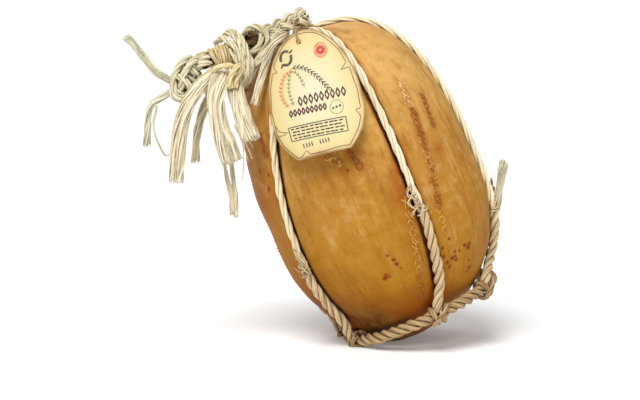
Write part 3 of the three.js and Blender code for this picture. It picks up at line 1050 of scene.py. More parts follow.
def strips(lines: Sequence[np.ndarray], shape: StripShape, wides: Sequence[np.ndarray],
           swells: Sequence[np.ndarray], depths: Sequence[float]) -> bpy.types.Object:
    """Makes straw strips along lines, all in one mesh.

    Args:
        lines: Rows of points for each strip, in millimetres.
        shape: The strips' section.
        wides: The direction of each strip's width at each of its points.
        swells: Each strip's share of its width at each of its points.
        depths: How deep each strip lies in its bundle, from 0 to 1.

    Returns:
        The mesh, with the attributes lay and inner.
    """
    corners = shape.outline()
    section = bpy.data.curves.new("section", "CURVE")
    section.dimensions = "2D"
    add_spline(section, corners).use_cyclic_u = True
    rim = add_object(section)
    curve = bpy.data.curves.new("strips", "CURVE")
    curve.dimensions = "3D"
    curve.twist_mode = "MINIMUM"
    curve.bevel_mode = "OBJECT"
    curve.bevel_object = rim
    curve.use_fill_caps = True
    for line, wide, swell in zip(lines, wides, swells):
        add_spline(curve, place(line), tilt=facing_tilt(line, wide), radius=swell).use_smooth = True
    bundle = curve_mesh(curve)
    bpy.data.objects.remove(rim)
    strip_attributes(bundle, lines, len(corners), depths)
    close_mesh(bundle, 1e-7)
    return bundle


def strip_attributes(bundle: bpy.types.Object, lines: Sequence[np.ndarray], corners: int,
                     depths: Sequence[float]) -> None:
    """Stores where each vertex lies on its strip, for the straw's fibres, and how deep the strip lies in its
    bundle, for painted shade.

    Args:
        bundle: The strips' mesh.
        lines: The strips' lines.
        corners: How many corners their section has.
        depths: How deep each strip lies in its bundle.
    """
    points = read_points(bundle)
    inner = np.zeros(len(points))
    lay = np.zeros((len(points), 3))
    first = 0
    for number, line in enumerate(lines):
        count = len(line) * corners
        if first + count > len(points):
            break
        index = np.arange(count)
        lay[first:first + count, 0] = (index % corners) * 0.55 + 37 * number
        lay[first:first + count, 2] = distances(line)[index // corners]
        inner[first:first + count] = depths[number]
        first += count
    add_attribute(bundle, "lay", lay)
    add_attribute(bundle, "inner", inner)


def fibres(lines: Sequence[np.ndarray], thickness: float) -> bpy.types.Object:
    """Makes fine straw fibres along lines, pointed at their far ends, all in one mesh.

    Args:
        lines: Rows of points for each fibre, in millimetres.
        thickness: Their radius near their start.

    Returns:
        The mesh, with the attributes lay and inner.
    """
    tuft = tubes([place(line) for line in lines], thickness, resolution=0, tip=0.35)
    none = np.zeros(len(tuft.data.vertices))
    add_attribute(tuft, "lay", np.stack([np.arange(len(none)) * 1.7, none, none], axis=1))
    add_attribute(tuft, "inner", none)
    close_mesh(tuft, 1e-7)
    return tuft


@dataclass
class Studio:
    """The plain pale floor, the soft lights and the camera."""

    camera_at: Point = (-11.0, -1714.0, 333.4)
    looks_down: float = 7.3
    lens: float = 120.0
    floor_size: float = 14.0
    floor_depth: float = 0.2
    sun_from: Point = (-0.25, -0.72, 1.0)
    sun_strength: float = 2.9
    sun_softness: float = 34.0
    room_light: float = 0.33
    lamps: tuple[tuple[str, Point, float, float], ...] = (
        ("fill", (1200, -1200, 600), 1000, 4.0),
        ("back", (-300, 1200, 1100), 900, 5.0))
    lamps_aim: Point = (0, 0, 0.12)
    floor_glow: Rgba = (1.0, 0.985, 0.97, 1.0)

    def set_camera(self) -> bpy.types.Object:
        """Stands the camera where the view was taken from and makes it the scene's own."""
        camera = add_object(bpy.data.cameras.new("camera"))
        camera.data.lens = self.lens
        camera.data.sensor_width = 36.0
        camera.data.clip_end = 30.0
        camera.location = place(self.camera_at)
        camera.rotation_euler = (math.radians(90 - self.looks_down), 0, 0)
        bpy.context.scene.camera = camera
        return camera

    def set_lights(self) -> None:
        """Hangs the soft lights, each turned to the cheese, in a room that looks white."""
        sun = bpy.data.lights.new("window", "SUN")
        sun.energy = self.sun_strength
        sun.angle = math.radians(self.sun_softness)
        add_object(sun).rotation_euler = (-Vector(self.sun_from)).to_track_quat("-Z", "Y").to_euler()
        for name, at, size, power in self.lamps:
            light = bpy.data.lights.new(name, "AREA")
            light.size = size * MM
            light.energy = power
            lamp = add_object(light)
            lamp.location = [value * MM for value in at]
            aim = Vector(self.lamps_aim) - lamp.location
            lamp.rotation_euler = aim.to_track_quat("-Z", "Y").to_euler()
        world = bpy.data.worlds.new("room")
        world.use_nodes = True
        graph = Graph(world.node_tree)
        seen = graph.node("ShaderNodeLightPath").outputs["Is Camera Ray"]
        graph.feed(world.node_tree.nodes["Background"], {
            "Color": (1.0, 1.0, 1.0, 1.0), "Strength": graph.ease(seen, 0.0, 1.0, self.room_light, 1.05)})
        bpy.context.scene.world = world
        bpy.context.scene.view_settings.view_transform = "Standard"

    def lay_floor(self) -> bpy.types.Object:
        """Lays the floor, plain and white."""
        deselect_all()
        bpy.ops.mesh.primitive_plane_add(size=self.floor_size, location=(0, 0, -self.floor_depth * MM))
        floor = bpy.context.active_object
        floor.name = "floor"
        material, graph, shader = new_material("white_table")
        cloud = graph.ease(graph.noise(graph.place(), 3.0, 2.0), 0.2, 0.8, 0.86, 0.9)
        tint = graph.node("ShaderNodeCombineColor", {"Red": cloud, "Green": cloud, "Blue": cloud})
        graph.feed(shader, {"Base Color": tint.outputs[0], "Roughness": 0.9,
                            "Emission Color": self.floor_glow, "Emission Strength": 0.13})
        floor.data.materials.append(material)
        return floor


@dataclass(frozen=True)
class Tail:
    """One loose strand of the tassel: bundles of flat straws that open into a brush at their end."""

    name: str
    radius: float
    route: tuple[Point, ...]
    bundles: int = 1
    straws: int = 14
    held: float = 0.66
    brush: float = 1.0
    opens: float = 0.72
    apart: float = 0.0
    wisps: tuple[tuple[float, tuple[Point, ...]], ...] = ()
    grey: bool = False

    def line(self) -> np.ndarray:
        """Gives the strand's middle line."""
        return smooth_route(self.route, 2.2)

    def widest(self) -> float:
        """Gives how far its straws may stand from its middle line."""
        return 1.3 * self.radius + 0.6


@dataclass
class Tassel:
    """The loose straw that hangs from the handle, and two loose ends elsewhere."""

    finish: bpy.types.Material
    grey_finish: bpy.types.Material
    fibre_radius: float = 0.28
    strip: StripShape = StripShape(2.3, 0.5, 0.3)
    layers: tuple[float, ...] = (1.0, 0.72, 0.36)
    layer_shades: tuple[float, ...] = (0.0, 0.3, 0.62)
    tails: tuple[Tail, ...] = (
        Tail("tail_up", 2.9, ((-122, -36, 211), (-129, -36, 213.6), (-133, -36, 216), (-137, -37, 218.5),
                              (-141.5, -37, 222.4), (-146.3, -36, 227.8), (-151, -36, 233.5),
                              (-155, -35, 239), (-159, -34, 243.6), (-162, -34, 247)), 2, 9, 0.62, 0.8, 0.8,
             grey=True),
        Tail("tail_left", 2.6, ((-122, -36, 207), (-128, -36, 205), (-133, -37, 202), (-138.5, -38, 198.8),
                                (-143, -40, 195.5), (-145.5, -40, 190.5), (-146.4, -40, 184),
                                (-146.5, -40, 174), (-147.4, -40, 163.4)), 1, 12, 0.55, 0.72, 0.45,
             wisps=((0.9, ((-143, -40, 196), (-140, -41, 194), (-140, -41, 189), (-142, -41, 181),
                           (-141, -41, 171), (-138, -40, 163), (-135, -40, 157), (-132, -39, 154),
                           (-129, -39, 156))),), grey=True),
        Tail("tail_front_left", 4.2, ((-94, -36, 223), (-98.5, -40, 218), (-105, -46, 210),
                                      (-112, -52, 199), (-117.8, -53, 185), (-121.3, -52, 169),
                                      (-123.1, -51, 153), (-124.1, -50, 136)), 2, 13, 0.95, 0.95, 0.68),
        Tail("tail_back", 3.1, ((-92, -26, 221), (-93, -26, 213), (-97, -27, 204), (-102, -28, 192),
                                (-106, -28, 180), (-109, -28, 165), (-110, -28, 149)),
             1, 15, 0.68, 0.85, 0.85,
             wisps=((2.2, ((-99, -24, 219), (-100, -30, 202), (-98, -30, 194), (-97, -30, 185),
                           (-97, -29, 176))),)),
        Tail("tail_front", 5.8, ((-87, -33, 222), (-88.5, -42, 218), (-91, -51, 210), (-92, -57, 199),
                                 (-90, -60, 186), (-86.5, -61, 173), (-83.5, -61, 163),
                                 (-79.8, -61, 153)), 2, 20, 0.86, 1.0, 0.62),
        Tail("tail_long", 2.8, ((-92, -36, 222), (-93, -40, 214), (-93, -44, 202), (-91, -46, 188),
                                (-88, -47, 172), (-84, -47, 154), (-81.8, -47, 138), (-79.8, -47, 125),
                                (-79, -47, 108)), 2, 8, 0.84, 0.8, 0.93, 1.7),
        Tail("tail_right", 5.1, ((-79, -33, 222), (-78.5, -39, 214), (-76.5, -46, 205), (-73.5, -51.5, 195),
                                 (-70, -57, 185), (-67.5, -61, 177), (-65, -64, 170.5)),
             2, 20, 0.84, 1.0, 0.55,
             wisps=((0.45, ((-77, -55, 182), (-72, -58, 172), (-67, -60, 162), (-64, -61, 154))),
                    (0.4, ((-73, -57, 181), (-68, -60, 171), (-63, -62, 163))),
                    (0.4, ((-76, -54, 180), (-72, -56, 168), (-69, -57, 158), (-67, -57, 152))),
                    (0.6, ((-78, -50, 180), (-72, -50, 165), (-71, -49, 155), (-71, -48, 149),
                           (-72, -47, 135))))),
        Tail("tail_beside_tag", 3.0, ((-38, -22, 250), (-42.5, -28, 247), (-48, -36, 240),
                                      (-52.5, -43, 230), (-56.4, -49, 219), (-59.4, -53, 208.4),
                                      (-61.7, -55.5, 197.7)), 1, 12, 0.62, 0.85, 0.86),
        Tail("tail_far_side", 2.7, ((128, -13, 103), (131, -13, 112), (133, -13, 123), (135, -13, 135),
                                    (137, -13, 146)), 2, 8, 0.75, 0.85, 0.7, grey=True))

    def build(self) -> list[bpy.types.Object]:
        return [self.hang(tail, number) for number, tail in enumerate(self.tails)]

    def hang(self, tail: Tail, number: int) -> bpy.types.Object:
        """Makes one strand.

        Args:
            tail: The strand.
            number: Its place in the row, which varies its straw.

        Returns:
            The strand's mesh.
        """
        line = tail.line()
        strand = self.straws(tail, line, number)
        finish = self.grey_finish if tail.grey else self.finish
        finish_piece(strand, f"{tail.name}_straw", finish, [tail.name])
        loose = [fibres(self.frayed(tail, line, number), self.fibre_radius)]
        loose += [lay_rope(route, radius, CORD, seed=number + radius, swell=(1, 1.1, 0.9, 1, 0.6))
                  for radius, route in tail.wisps]
        fray = finish_piece(join_pieces(loose), f"{tail.name}_fray", finish)
        return strand

    def straws(self, tail: Tail, line: np.ndarray, number: int) -> bpy.types.Object:
        """Lays a strand's flat straws round its bundles and fans them out at its end.

        Args:
            tail: The strand.
            line: Its middle line.
            number: Its place in the row.

        Returns:
            The straws as one mesh.
        """
        ragged = 2 if tail.radius > 3.5 else 1
        heading = (line[-1] - line[-2])[None, :]
        longer = np.vstack([line, line[-1] + heading * np.arange(1, ragged + 1)[:, None]])
        along = np.gradient(longer, axis=0)
        side = unit_rows(np.stack([along[:, 2], np.zeros(len(along)), -along[:, 0]], axis=1))
        depth = unit_rows(np.cross(along, side))
        most = tail.widest()
        half = most * tail.held / (1.75 if tail.bundles == 2 else 1)
        lines, wides, swells, depths = [], [], [], []
        for straw in range(tail.bundles * tail.straws):
            bundle, place_in = straw % tail.bundles, straw // tail.bundles
            keep = len(line) + straw % (ragged + 1) - (straw * 5 % 3 == 1)
            share = np.linspace(0, keep / len(longer), keep)
            waver = np.array([noise.noise(Vector((straw * 5.1 + number, s * 3.1, 2.2))) for s in share])
            sway = np.array([noise.noise(Vector((bundle * 9.3 + number, s * 2.4, 7.7))) for s in share])
            around = place_in * GOLDEN_TURN + 0.7 * number + 3.4 * share + 0.8 * waver
            layer = self.layers[place_in % 3]
            narrow = 0.62 + 0.38 * np.clip(share / 0.16, 0, 1) ** 0.7
            crossing = math.pi * bundle + 0.5 * number + 2.3 * share
            wide = np.full(keep, 0.0)
            deep = np.full(keep, 0.0)
            if tail.bundles == 2:
                gap = most * tail.held * 0.43 + tail.apart * np.sin(math.pi * share) ** 2
                wide = gap * np.sign(0.5 - bundle) * (1 - 0.55 * (1 - narrow) / 0.38) + 0.5 * half * sway
                deep = 0.3 * half * np.sin(crossing)
            wide = (wide + half * layer * np.cos(around)) * narrow
            deep = (deep + 0.6 * half * layer * np.sin(around)) * narrow
            open_share = np.clip((share - tail.opens) / (1 - tail.opens), 0, 1) ** 1.3
            spread = 1 + open_share * (most * tail.brush / (most * tail.held) - 0.9)
            jitter = math.sin(straw * 12.9 + number) * 0.3 * most * tail.brush * open_share
            wide, deep = wide * spread + jitter, deep * (1 + 0.3 * open_share)
            fit = np.minimum(1, (1.3 * tail.radius + 0.4) / np.maximum(np.hypot(wide, deep), 0.01))
            wide, deep = wide * fit, deep * fit
            lines.append(longer[:keep] + side[:keep] * wide[:, None] + depth[:keep] * deep[:, None])
            lean = 0.5 * math.sin(straw * 7.1) + 0.4 * waver
            wides.append(side[:keep] * (-np.sin(around + lean))[:, None]
                         + depth[:keep] * np.cos(around + lean)[:, None])
            swells.append((0.62 + 0.42 * ((straw * 3) % 4) / 3) * (1 - 0.4 * open_share ** 2))
            depths.append(self.layer_shades[place_in % 3])
        return strips(lines, self.strip, wides, swells, depths)

    def frayed(self, tail: Tail, line: np.ndarray, number: int) -> list[np.ndarray]:
        """Gives the lines of the fine fibres at a strand's end.

        Args:
            tail: The strand.
            line: Its middle line.
            number: Its place in the row.

        Returns:
            Rows of points for each fibre.
        """
        first, second = side_directions(line)
        found = []
        for fibre in range(6 + round(tail.radius * 3)):
            turn = fibre * 2.4 + number
            reach = tail.radius * (0.4 + 0.6 * ((fibre * 7) % 3) / 2)
            start = len(line) - 6 - (fibre % 5)
            aside = first[start:] * math.cos(turn) + second[start:] * 0.6 * math.sin(turn)
            spread = np.linspace(0.7, 1.25, len(aside))[:, None]
            run = line[start:] + aside * reach * spread
            heading = unit(run[-1] - run[0])
            tip = 1.0 + 2.5 * ((fibre * 5) % 4) / 3
            found.append(np.vstack([run, run[-1] + heading * tip * 0.5 + aside[-1] * 0.4,
                                    run[-1] + heading * tip + aside[-1]]))
        return found


class Motif(Enum):
    """The plain stamps pressed into the rind."""

    RING = "ring"
    BARS = "bars"
    CHEVRON = "chevron"
    HOOK = "hook"
    CROSS = "cross"

    def lines(self) -> list[np.ndarray]:
        """Gives the stamp's lines as flat rows of points, for a stamp that is 2 high and wide."""
        turn = np.radians(np.arange(0, 361, 24))
        return {
            Motif.RING: [oval((0, 0), 0.72, 1.0, turn)],
            Motif.BARS: [np.array([[-0.9, x], [0.9, x + 0.16]]) for x in (-0.6, 0.45)],
            Motif.CHEVRON: [np.array([[-0.9, 0.7 + x], [0.1, -0.1 + x], [0.9, 0.7 + x]])
                            for x in (-0.7, 0.1)],
            Motif.HOOK: [oval((0, 0), 0.8, 0.9, turn[3:13]), np.array([[0.5, -0.9], [0.6, 0.8]])],
            Motif.CROSS: [np.array([[-0.8, -0.8], [0.8, 0.8]]), np.array([[-0.8, 0.8], [0.8, -0.8]])]
        }[self]


@dataclass(frozen=True)
class Stamp:
    """One pressed mark: bearing and outline angle in degrees, its half width, turn, motif, and the weight of
    its browning and painted shade.
    """

    bearing: float
    angle: float
    size: float
    turn: float
    motif: Motif
    depth: float


@dataclass
class Rind:
    """The cheese itself, with the furrows that its ropes press, its swellings and its pressed marks."""

    finish: bpy.types.Material
    mark_finish: bpy.types.Material
    segments: int = 360
    rows: int = 230
    furrow: float = 1.3
    furrow_reach: float = 4.6
    lip: float = 0.9
    lip_place: float = 9.0
    lip_reach: float = 4.0
    swelling: float = 1.3
    # Share of deep amber on each lobe, partly the rind's own colour and partly painted shade; the left lobe,
    # 0.75, is darkest.
    lobe_tones_and_shade: tuple[float, ...] = (0.3, 0.55, 0.3, 0.6, 0.75, 0.1)
    columns: tuple[tuple[float, float, float, float, int, float, float], ...] = (
        (40.8, 118.6, 39.6, 111.2, 4, 0.3, 3.8), (39.6, 109.4, 36.4, 99.6, 6, 0.95, 5.2),
        (36.0, 97.4, 33.8, 92.6, 5, 0.55, 5.2), (32.6, 91.4, 30.4, 86.6, 4, 0.75, 4.4),
        (29.6, 84.2, 28.8, 75.6, 3, 0.15, 3.6), (50.9, 112.4, 47.5, 103.2, 6, 0.95, 2.8),
        (14.2, 90.8, 8.2, 63.5, 9, 0.3, 4.2), (7.6, 60.0, 5.0, 50.0, 4, 0.6, 4.2),
        (-13.2, 107.4, -8.4, 104.4, 3, 0.4, 3.0), (-1.6, 106.6, 0.2, 101.6, 4, 0.95, 3.8),
        (-53.0, 121.6, -51.2, 115.0, 4, 0.95, 3.4), (172.0, 112.0, 168.0, 84.0, 10, 0.5, 4.4),
        (228.0, 104.0, 224.0, 82.0, 8, 0.4, 4.2))
    stamp_long: float = 2.5
    freckles: tuple[tuple[float, float, float], ...] = (
        (24.7, 68.5, 1.4), (24.4, 64.8, 1.6), (25.9, 61.0, 1.8), (27.1, 58.4, 1.6), (29.9, 61.8, 1.9),
        (31.9, 62.0, 1.6), (32.0, 60.0, 1.5), (35.0, 63.6, 1.4), (31.6, 64.3, 1.3), (38.7, 64.9, 1.7),
        (41.3, 63.0, 2.4), (42.6, 64.6, 1.7), (42.2, 56.6, 1.5), (42.9, 53.0, 2.1), (41.0, 51.5, 1.6),
        (30.0, 71.0, 1.3), (-4.7, 75.7, 1.2), (-2.7, 73.1, 1.8), (-2.1, 70.6, 2.1), (-0.8, 68.3, 1.5),
        (-9.8, 67.8, 1.6), (-11.1, 66.5, 2.0), (-8.4, 66.7, 1.5), (-54.0, 108.0, 1.8), (-58.0, 104.0, 2.2),
        (-61.0, 110.0, 1.7), (-6.0, 102.0, 1.6), (175.0, 70.0, 2.0), (171.0, 66.0, 2.2), (178.0, 63.0, 1.6),
        (168.0, 71.0, 1.4), (100.0, 64.0, 2.0), (104.0, 60.0, 1.7), (96.0, 58.0, 1.9), (226.0, 66.0, 2.2),
        (222.0, 62.0, 1.6), (280.0, 90.0, 2.1), (284.0, 86.0, 1.6))
    # Darker patches by bearing, outline angle, reach and weight: the first two, low by the foot left of the
    # front rope, and the one at bearing -70 on the left side are painted shade; the others are darker
    # patches of the rind.
    stains_and_shade: tuple[tuple[float, float, float, float], ...] = (
        (4.0, 42.0, 15.0, 0.9), (17.0, 46.0, 14.0, 0.8),
        (22.7, 104.0, 5, 0.7), (19.0, 99.0, 6, 0.8), (16.5, 96.3, 8, 0.85), (15.2, 93.5, 8, 0.9),
        (12.9, 91.3, 8, 0.85), (11.8, 86.0, 7, 0.55), (9.8, 77.9, 8, 0.35), (3.0, 54.9, 8, 0.5),
        (44.0, 97.0, 6, 0.6), (60, 62, 10, 0.4), (-53, 118, 9, 0.5), (-70, 100, 14, 0.6), (165, 90, 12, 0.5),
        (230, 80, 12, 0.5), (24.0, 58.0, 5, 0.4), (-8.0, 102.0, 7, 0.5))
    # Reach and weight of the painted shade, with some browning, round each pressed mark.
    stamp_halo_reach: float = 4.3
    stamp_halo_weight: float = 0.7
    mark_radius: float = 0.7
    mark_darkening_reach: float = 8.0
    mark_sunk: float = 0.12

    def gap_to_rope(self, bearing: np.ndarray, angle: np.ndarray) -> np.ndarray:
        """Gives the degrees from each place to the nearest rope."""
        gaps = [np.abs((bearing - BODY.bearing(rope, angle) + 180) % 360 - 180)
                for rope in range(len(BODY.bearings))]
        return np.min(gaps, axis=0)

    def skin(self, bearing: np.ndarray, angle: np.ndarray, lift: float = 0.0) -> np.ndarray:
        """Gives points on the rind, with its furrows and swellings, in the standing frame.

        Args:
            bearing: Degrees from the front towards the right.
            angle: Outline angles in radians.
            lift: The distance above the rind.

        Returns:
            Rows of points.
        """
        gap = self.gap_to_rope(bearing, angle)
        valley = BODY.valley(gap, angle)
        radius, _ = BODY.outline(angle)
        apart = np.radians(gap) * radius
        weight = np.clip(radius / 30, 0, 1) * np.clip((np.degrees(angle) - 48) / 14, 0, 1)
        relief = weight * (self.lip * np.exp(-((apart - self.lip_place) / self.lip_reach) ** 2)
                           - self.furrow * np.exp(-((apart / self.furrow_reach) ** 2)))
        plain = BODY.surface(bearing, angle, 0.0, valley)
        swell = np.array([noise.noise(Vector(p * 0.021)) + 0.4 * noise.noise(Vector(p * 0.06 + 7))
                          + 0.12 * noise.noise(Vector(p * 0.19 + 3)) for p in plain])
        swell *= self.swelling * (0.35 + 0.65 * np.clip(apart / 12, 0, 1))
        return BODY.surface(bearing, angle, lift + relief + swell, valley)

    def build(self) -> bpy.types.Object:
        """Makes the body from a sphere whose rows are moved on to the lobed outline."""
        deselect_all()
        bpy.ops.mesh.primitive_uv_sphere_add(segments=self.segments, ring_count=self.rows, radius=1.0)
        body = bpy.context.active_object
        unit = read_points(body)
        angle = np.arccos(np.clip(-unit[:, 2], -1, 1))
        angle = np.clip(angle, 0.0005, math.pi - 0.0005)
        bearing = np.degrees(np.arctan2(unit[:, 0], -unit[:, 1]))
        points = self.skin(bearing, angle)
        points[:, 2] = np.maximum(points[:, 2], 0)
        write_points(body, place(points))
        radius, _ = BODY.outline(angle)
        apart = np.radians(self.gap_to_rope(bearing, angle)) * radius
        add_attribute(body, "valley", np.exp(-((apart / 8.0) ** 2)) * np.clip(radius / 20, 0, 1))
        # A narrow band just beside each rope, painted dark as the rope's shadow on the rind.
        thick = np.where(np.degrees(angle) > 84, 3.4, 4.6)
        add_attribute(body, "crease_shade", np.clip(1.25 - np.abs(apart - thick) / 1.5, 0, 1)
                      * np.clip(radius / 30, 0, 1) * np.clip((np.degrees(angle) - 50) / 10, 0, 1))
        # Lobe amber, partly painted shade on the left lobe.
        add_attribute(body, "lobe_tone_and_shade", self.toned(bearing, angle))
        add_attribute(body, "rise", np.clip(points[:, 2] / TALLEST, 0, 1))
        add_attribute(body, "freckles", self.nearness(points, [(*place_at, reach, 1.0)
                                                               for *place_at, reach in self.freckles]))
        add_attribute(body, "stain_and_shade", self.stained_and_shaded(points))
        add_attribute(body, "flow", self.flowing(bearing, angle))
        close_mesh(body, 1e-6)
        return finish_piece(body, "rind_body", self.finish, ["cheese"])

    def toned(self, bearing: np.ndarray, angle: np.ndarray) -> np.ndarray:
        """Gives each place the share of deep amber of the lobe that it lies on, from golden, 0, to deep
        amber, 1: partly the rind's own uneven colour, partly painted shade, most on the left lobe.
        """
        lobe_tone_and_shade = np.full(len(bearing), self.lobe_tones_and_shade[-1])
        for rope, lobe_tone in enumerate(self.lobe_tones_and_shade[:-1]):
            start, end = BODY.bearing(rope, angle), BODY.bearing(rope + 1, angle)
            lobe_tone_and_shade = np.where((bearing - start) % 360 < (end - start) % 360, lobe_tone, lobe_tone_and_shade)
        return lobe_tone_and_shade * np.clip(BODY.outline(angle)[0] / 40, 0, 1)

    def flowing(self, bearing: np.ndarray, angle: np.ndarray) -> np.ndarray:
        """Gives a place for each point on an unrolled rind, for streaks that run from crown to foot.

        Args:
            bearing: Degrees from the front towards the right.
            angle: Outline angles in radians.

        Returns:
            Rows of points, in millimetres, with the way along the outline upright.
        """
        steps, along = BODY.arc(180)
        turn = np.radians(bearing)
        return np.stack([BODY.radius * np.cos(turn), BODY.radius * np.sin(turn),
                         np.interp(angle, steps, along)], axis=1)

    def nearness(self, points: np.ndarray, spots: Sequence[tuple[float, float, float, float]]) -> np.ndarray:
        """Gives how close each point lies to any of some spots, from 0 to 1.

        Args:
            points: Rows of points in the standing frame.
            spots: Each spot's bearing, outline angle, reach and weight.

        Returns:
            One value for each point.
        """
        close = np.zeros(len(points))
        for bearing, angle, reach, weight in spots:
            middle = self.skin(np.array([bearing], float), np.radians([angle]))[0]
            apart = np.linalg.norm(points - middle, axis=1)
            close = np.maximum(close, weight * np.exp(-((apart / reach) ** 2)))
        return close

    def stained_and_shaded(self, points: np.ndarray) -> np.ndarray:
        """Gives how much the rind is darkened at each point: the listed patches, and painted shade with some
        browning round each pressed mark.
        """
        under = [(stamp.bearing, stamp.angle, self.stamp_halo_reach, self.stamp_halo_weight * stamp.depth)
                 for stamp in self.stamps()]
        return self.nearness(points, [*self.stains_and_shade, *under])

    def stamps(self) -> list[Stamp]:
        """Gives every pressed mark, set along its column."""
        found = []
        for start, high, end, low, count, depth, wide in self.columns:
            for number in range(count):
                share = number / (count - 1)
                motif = list(Motif)[(number * 2 + count) % len(Motif)]
                lean = math.degrees(math.atan2((end - start) * 1.3, low - high))
                found.append(Stamp(start + (end - start) * share, high + (low - high) * share,
                                   wide, lean * 0.5 + 6 * math.sin(number * 1.7), motif, depth))
        return found

    def press_marks(self) -> bpy.types.Object:
        """Makes the raised edges of the pressed marks, sunk half into the rind."""
        lines = [place(self.wrapped(stamp, flat * (stamp.size, self.stamp_long)))
                 for stamp in self.stamps() for flat in stamp.motif.lines()]
        marks = tubes(lines, self.mark_radius)
        close_mesh(marks, 1e-7)
        points = unplace(read_points(marks))
        add_attribute(marks, "rise", np.clip(points[:, 2] / TALLEST, 0, 1))
        # The mark edges darken near the deepest marks, partly browning and partly painted shade.
        spots = [(stamp.bearing, stamp.angle, self.mark_darkening_reach, stamp.depth) for stamp in self.stamps()]
        add_attribute(marks, "stain_and_shade", self.nearness(points, spots))
        return finish_piece(marks, "pressed_marks", self.mark_finish)

    def wrapped(self, stamp: Stamp, flat: np.ndarray) -> np.ndarray:
        """Wraps one flat line of a stamp round the rind.

        Args:
            stamp: The stamp.
            flat: Rows of flat points.

        Returns:
            Rows of points in the standing frame.
        """
        count = max(4, round(route_length(flat) / 0.9))
        dense = between(flat, np.arange(len(flat)), np.linspace(0, len(flat) - 1, count))
        turn = math.radians(stamp.turn)
        across = dense[:, 0] * math.cos(turn) - dense[:, 1] * math.sin(turn)
        along = dense[:, 0] * math.sin(turn) + dense[:, 1] * math.cos(turn)
        angle = math.radians(stamp.angle)
        radius, height = BODY.outline(np.array([angle, angle + 0.02]))
        reach = math.hypot(radius[1] - radius[0], height[1] - height[0]) / 0.02
        bearing = stamp.bearing + np.degrees(across / radius[0])
        return self.skin(bearing, angle + along / reach, -self.mark_sunk)


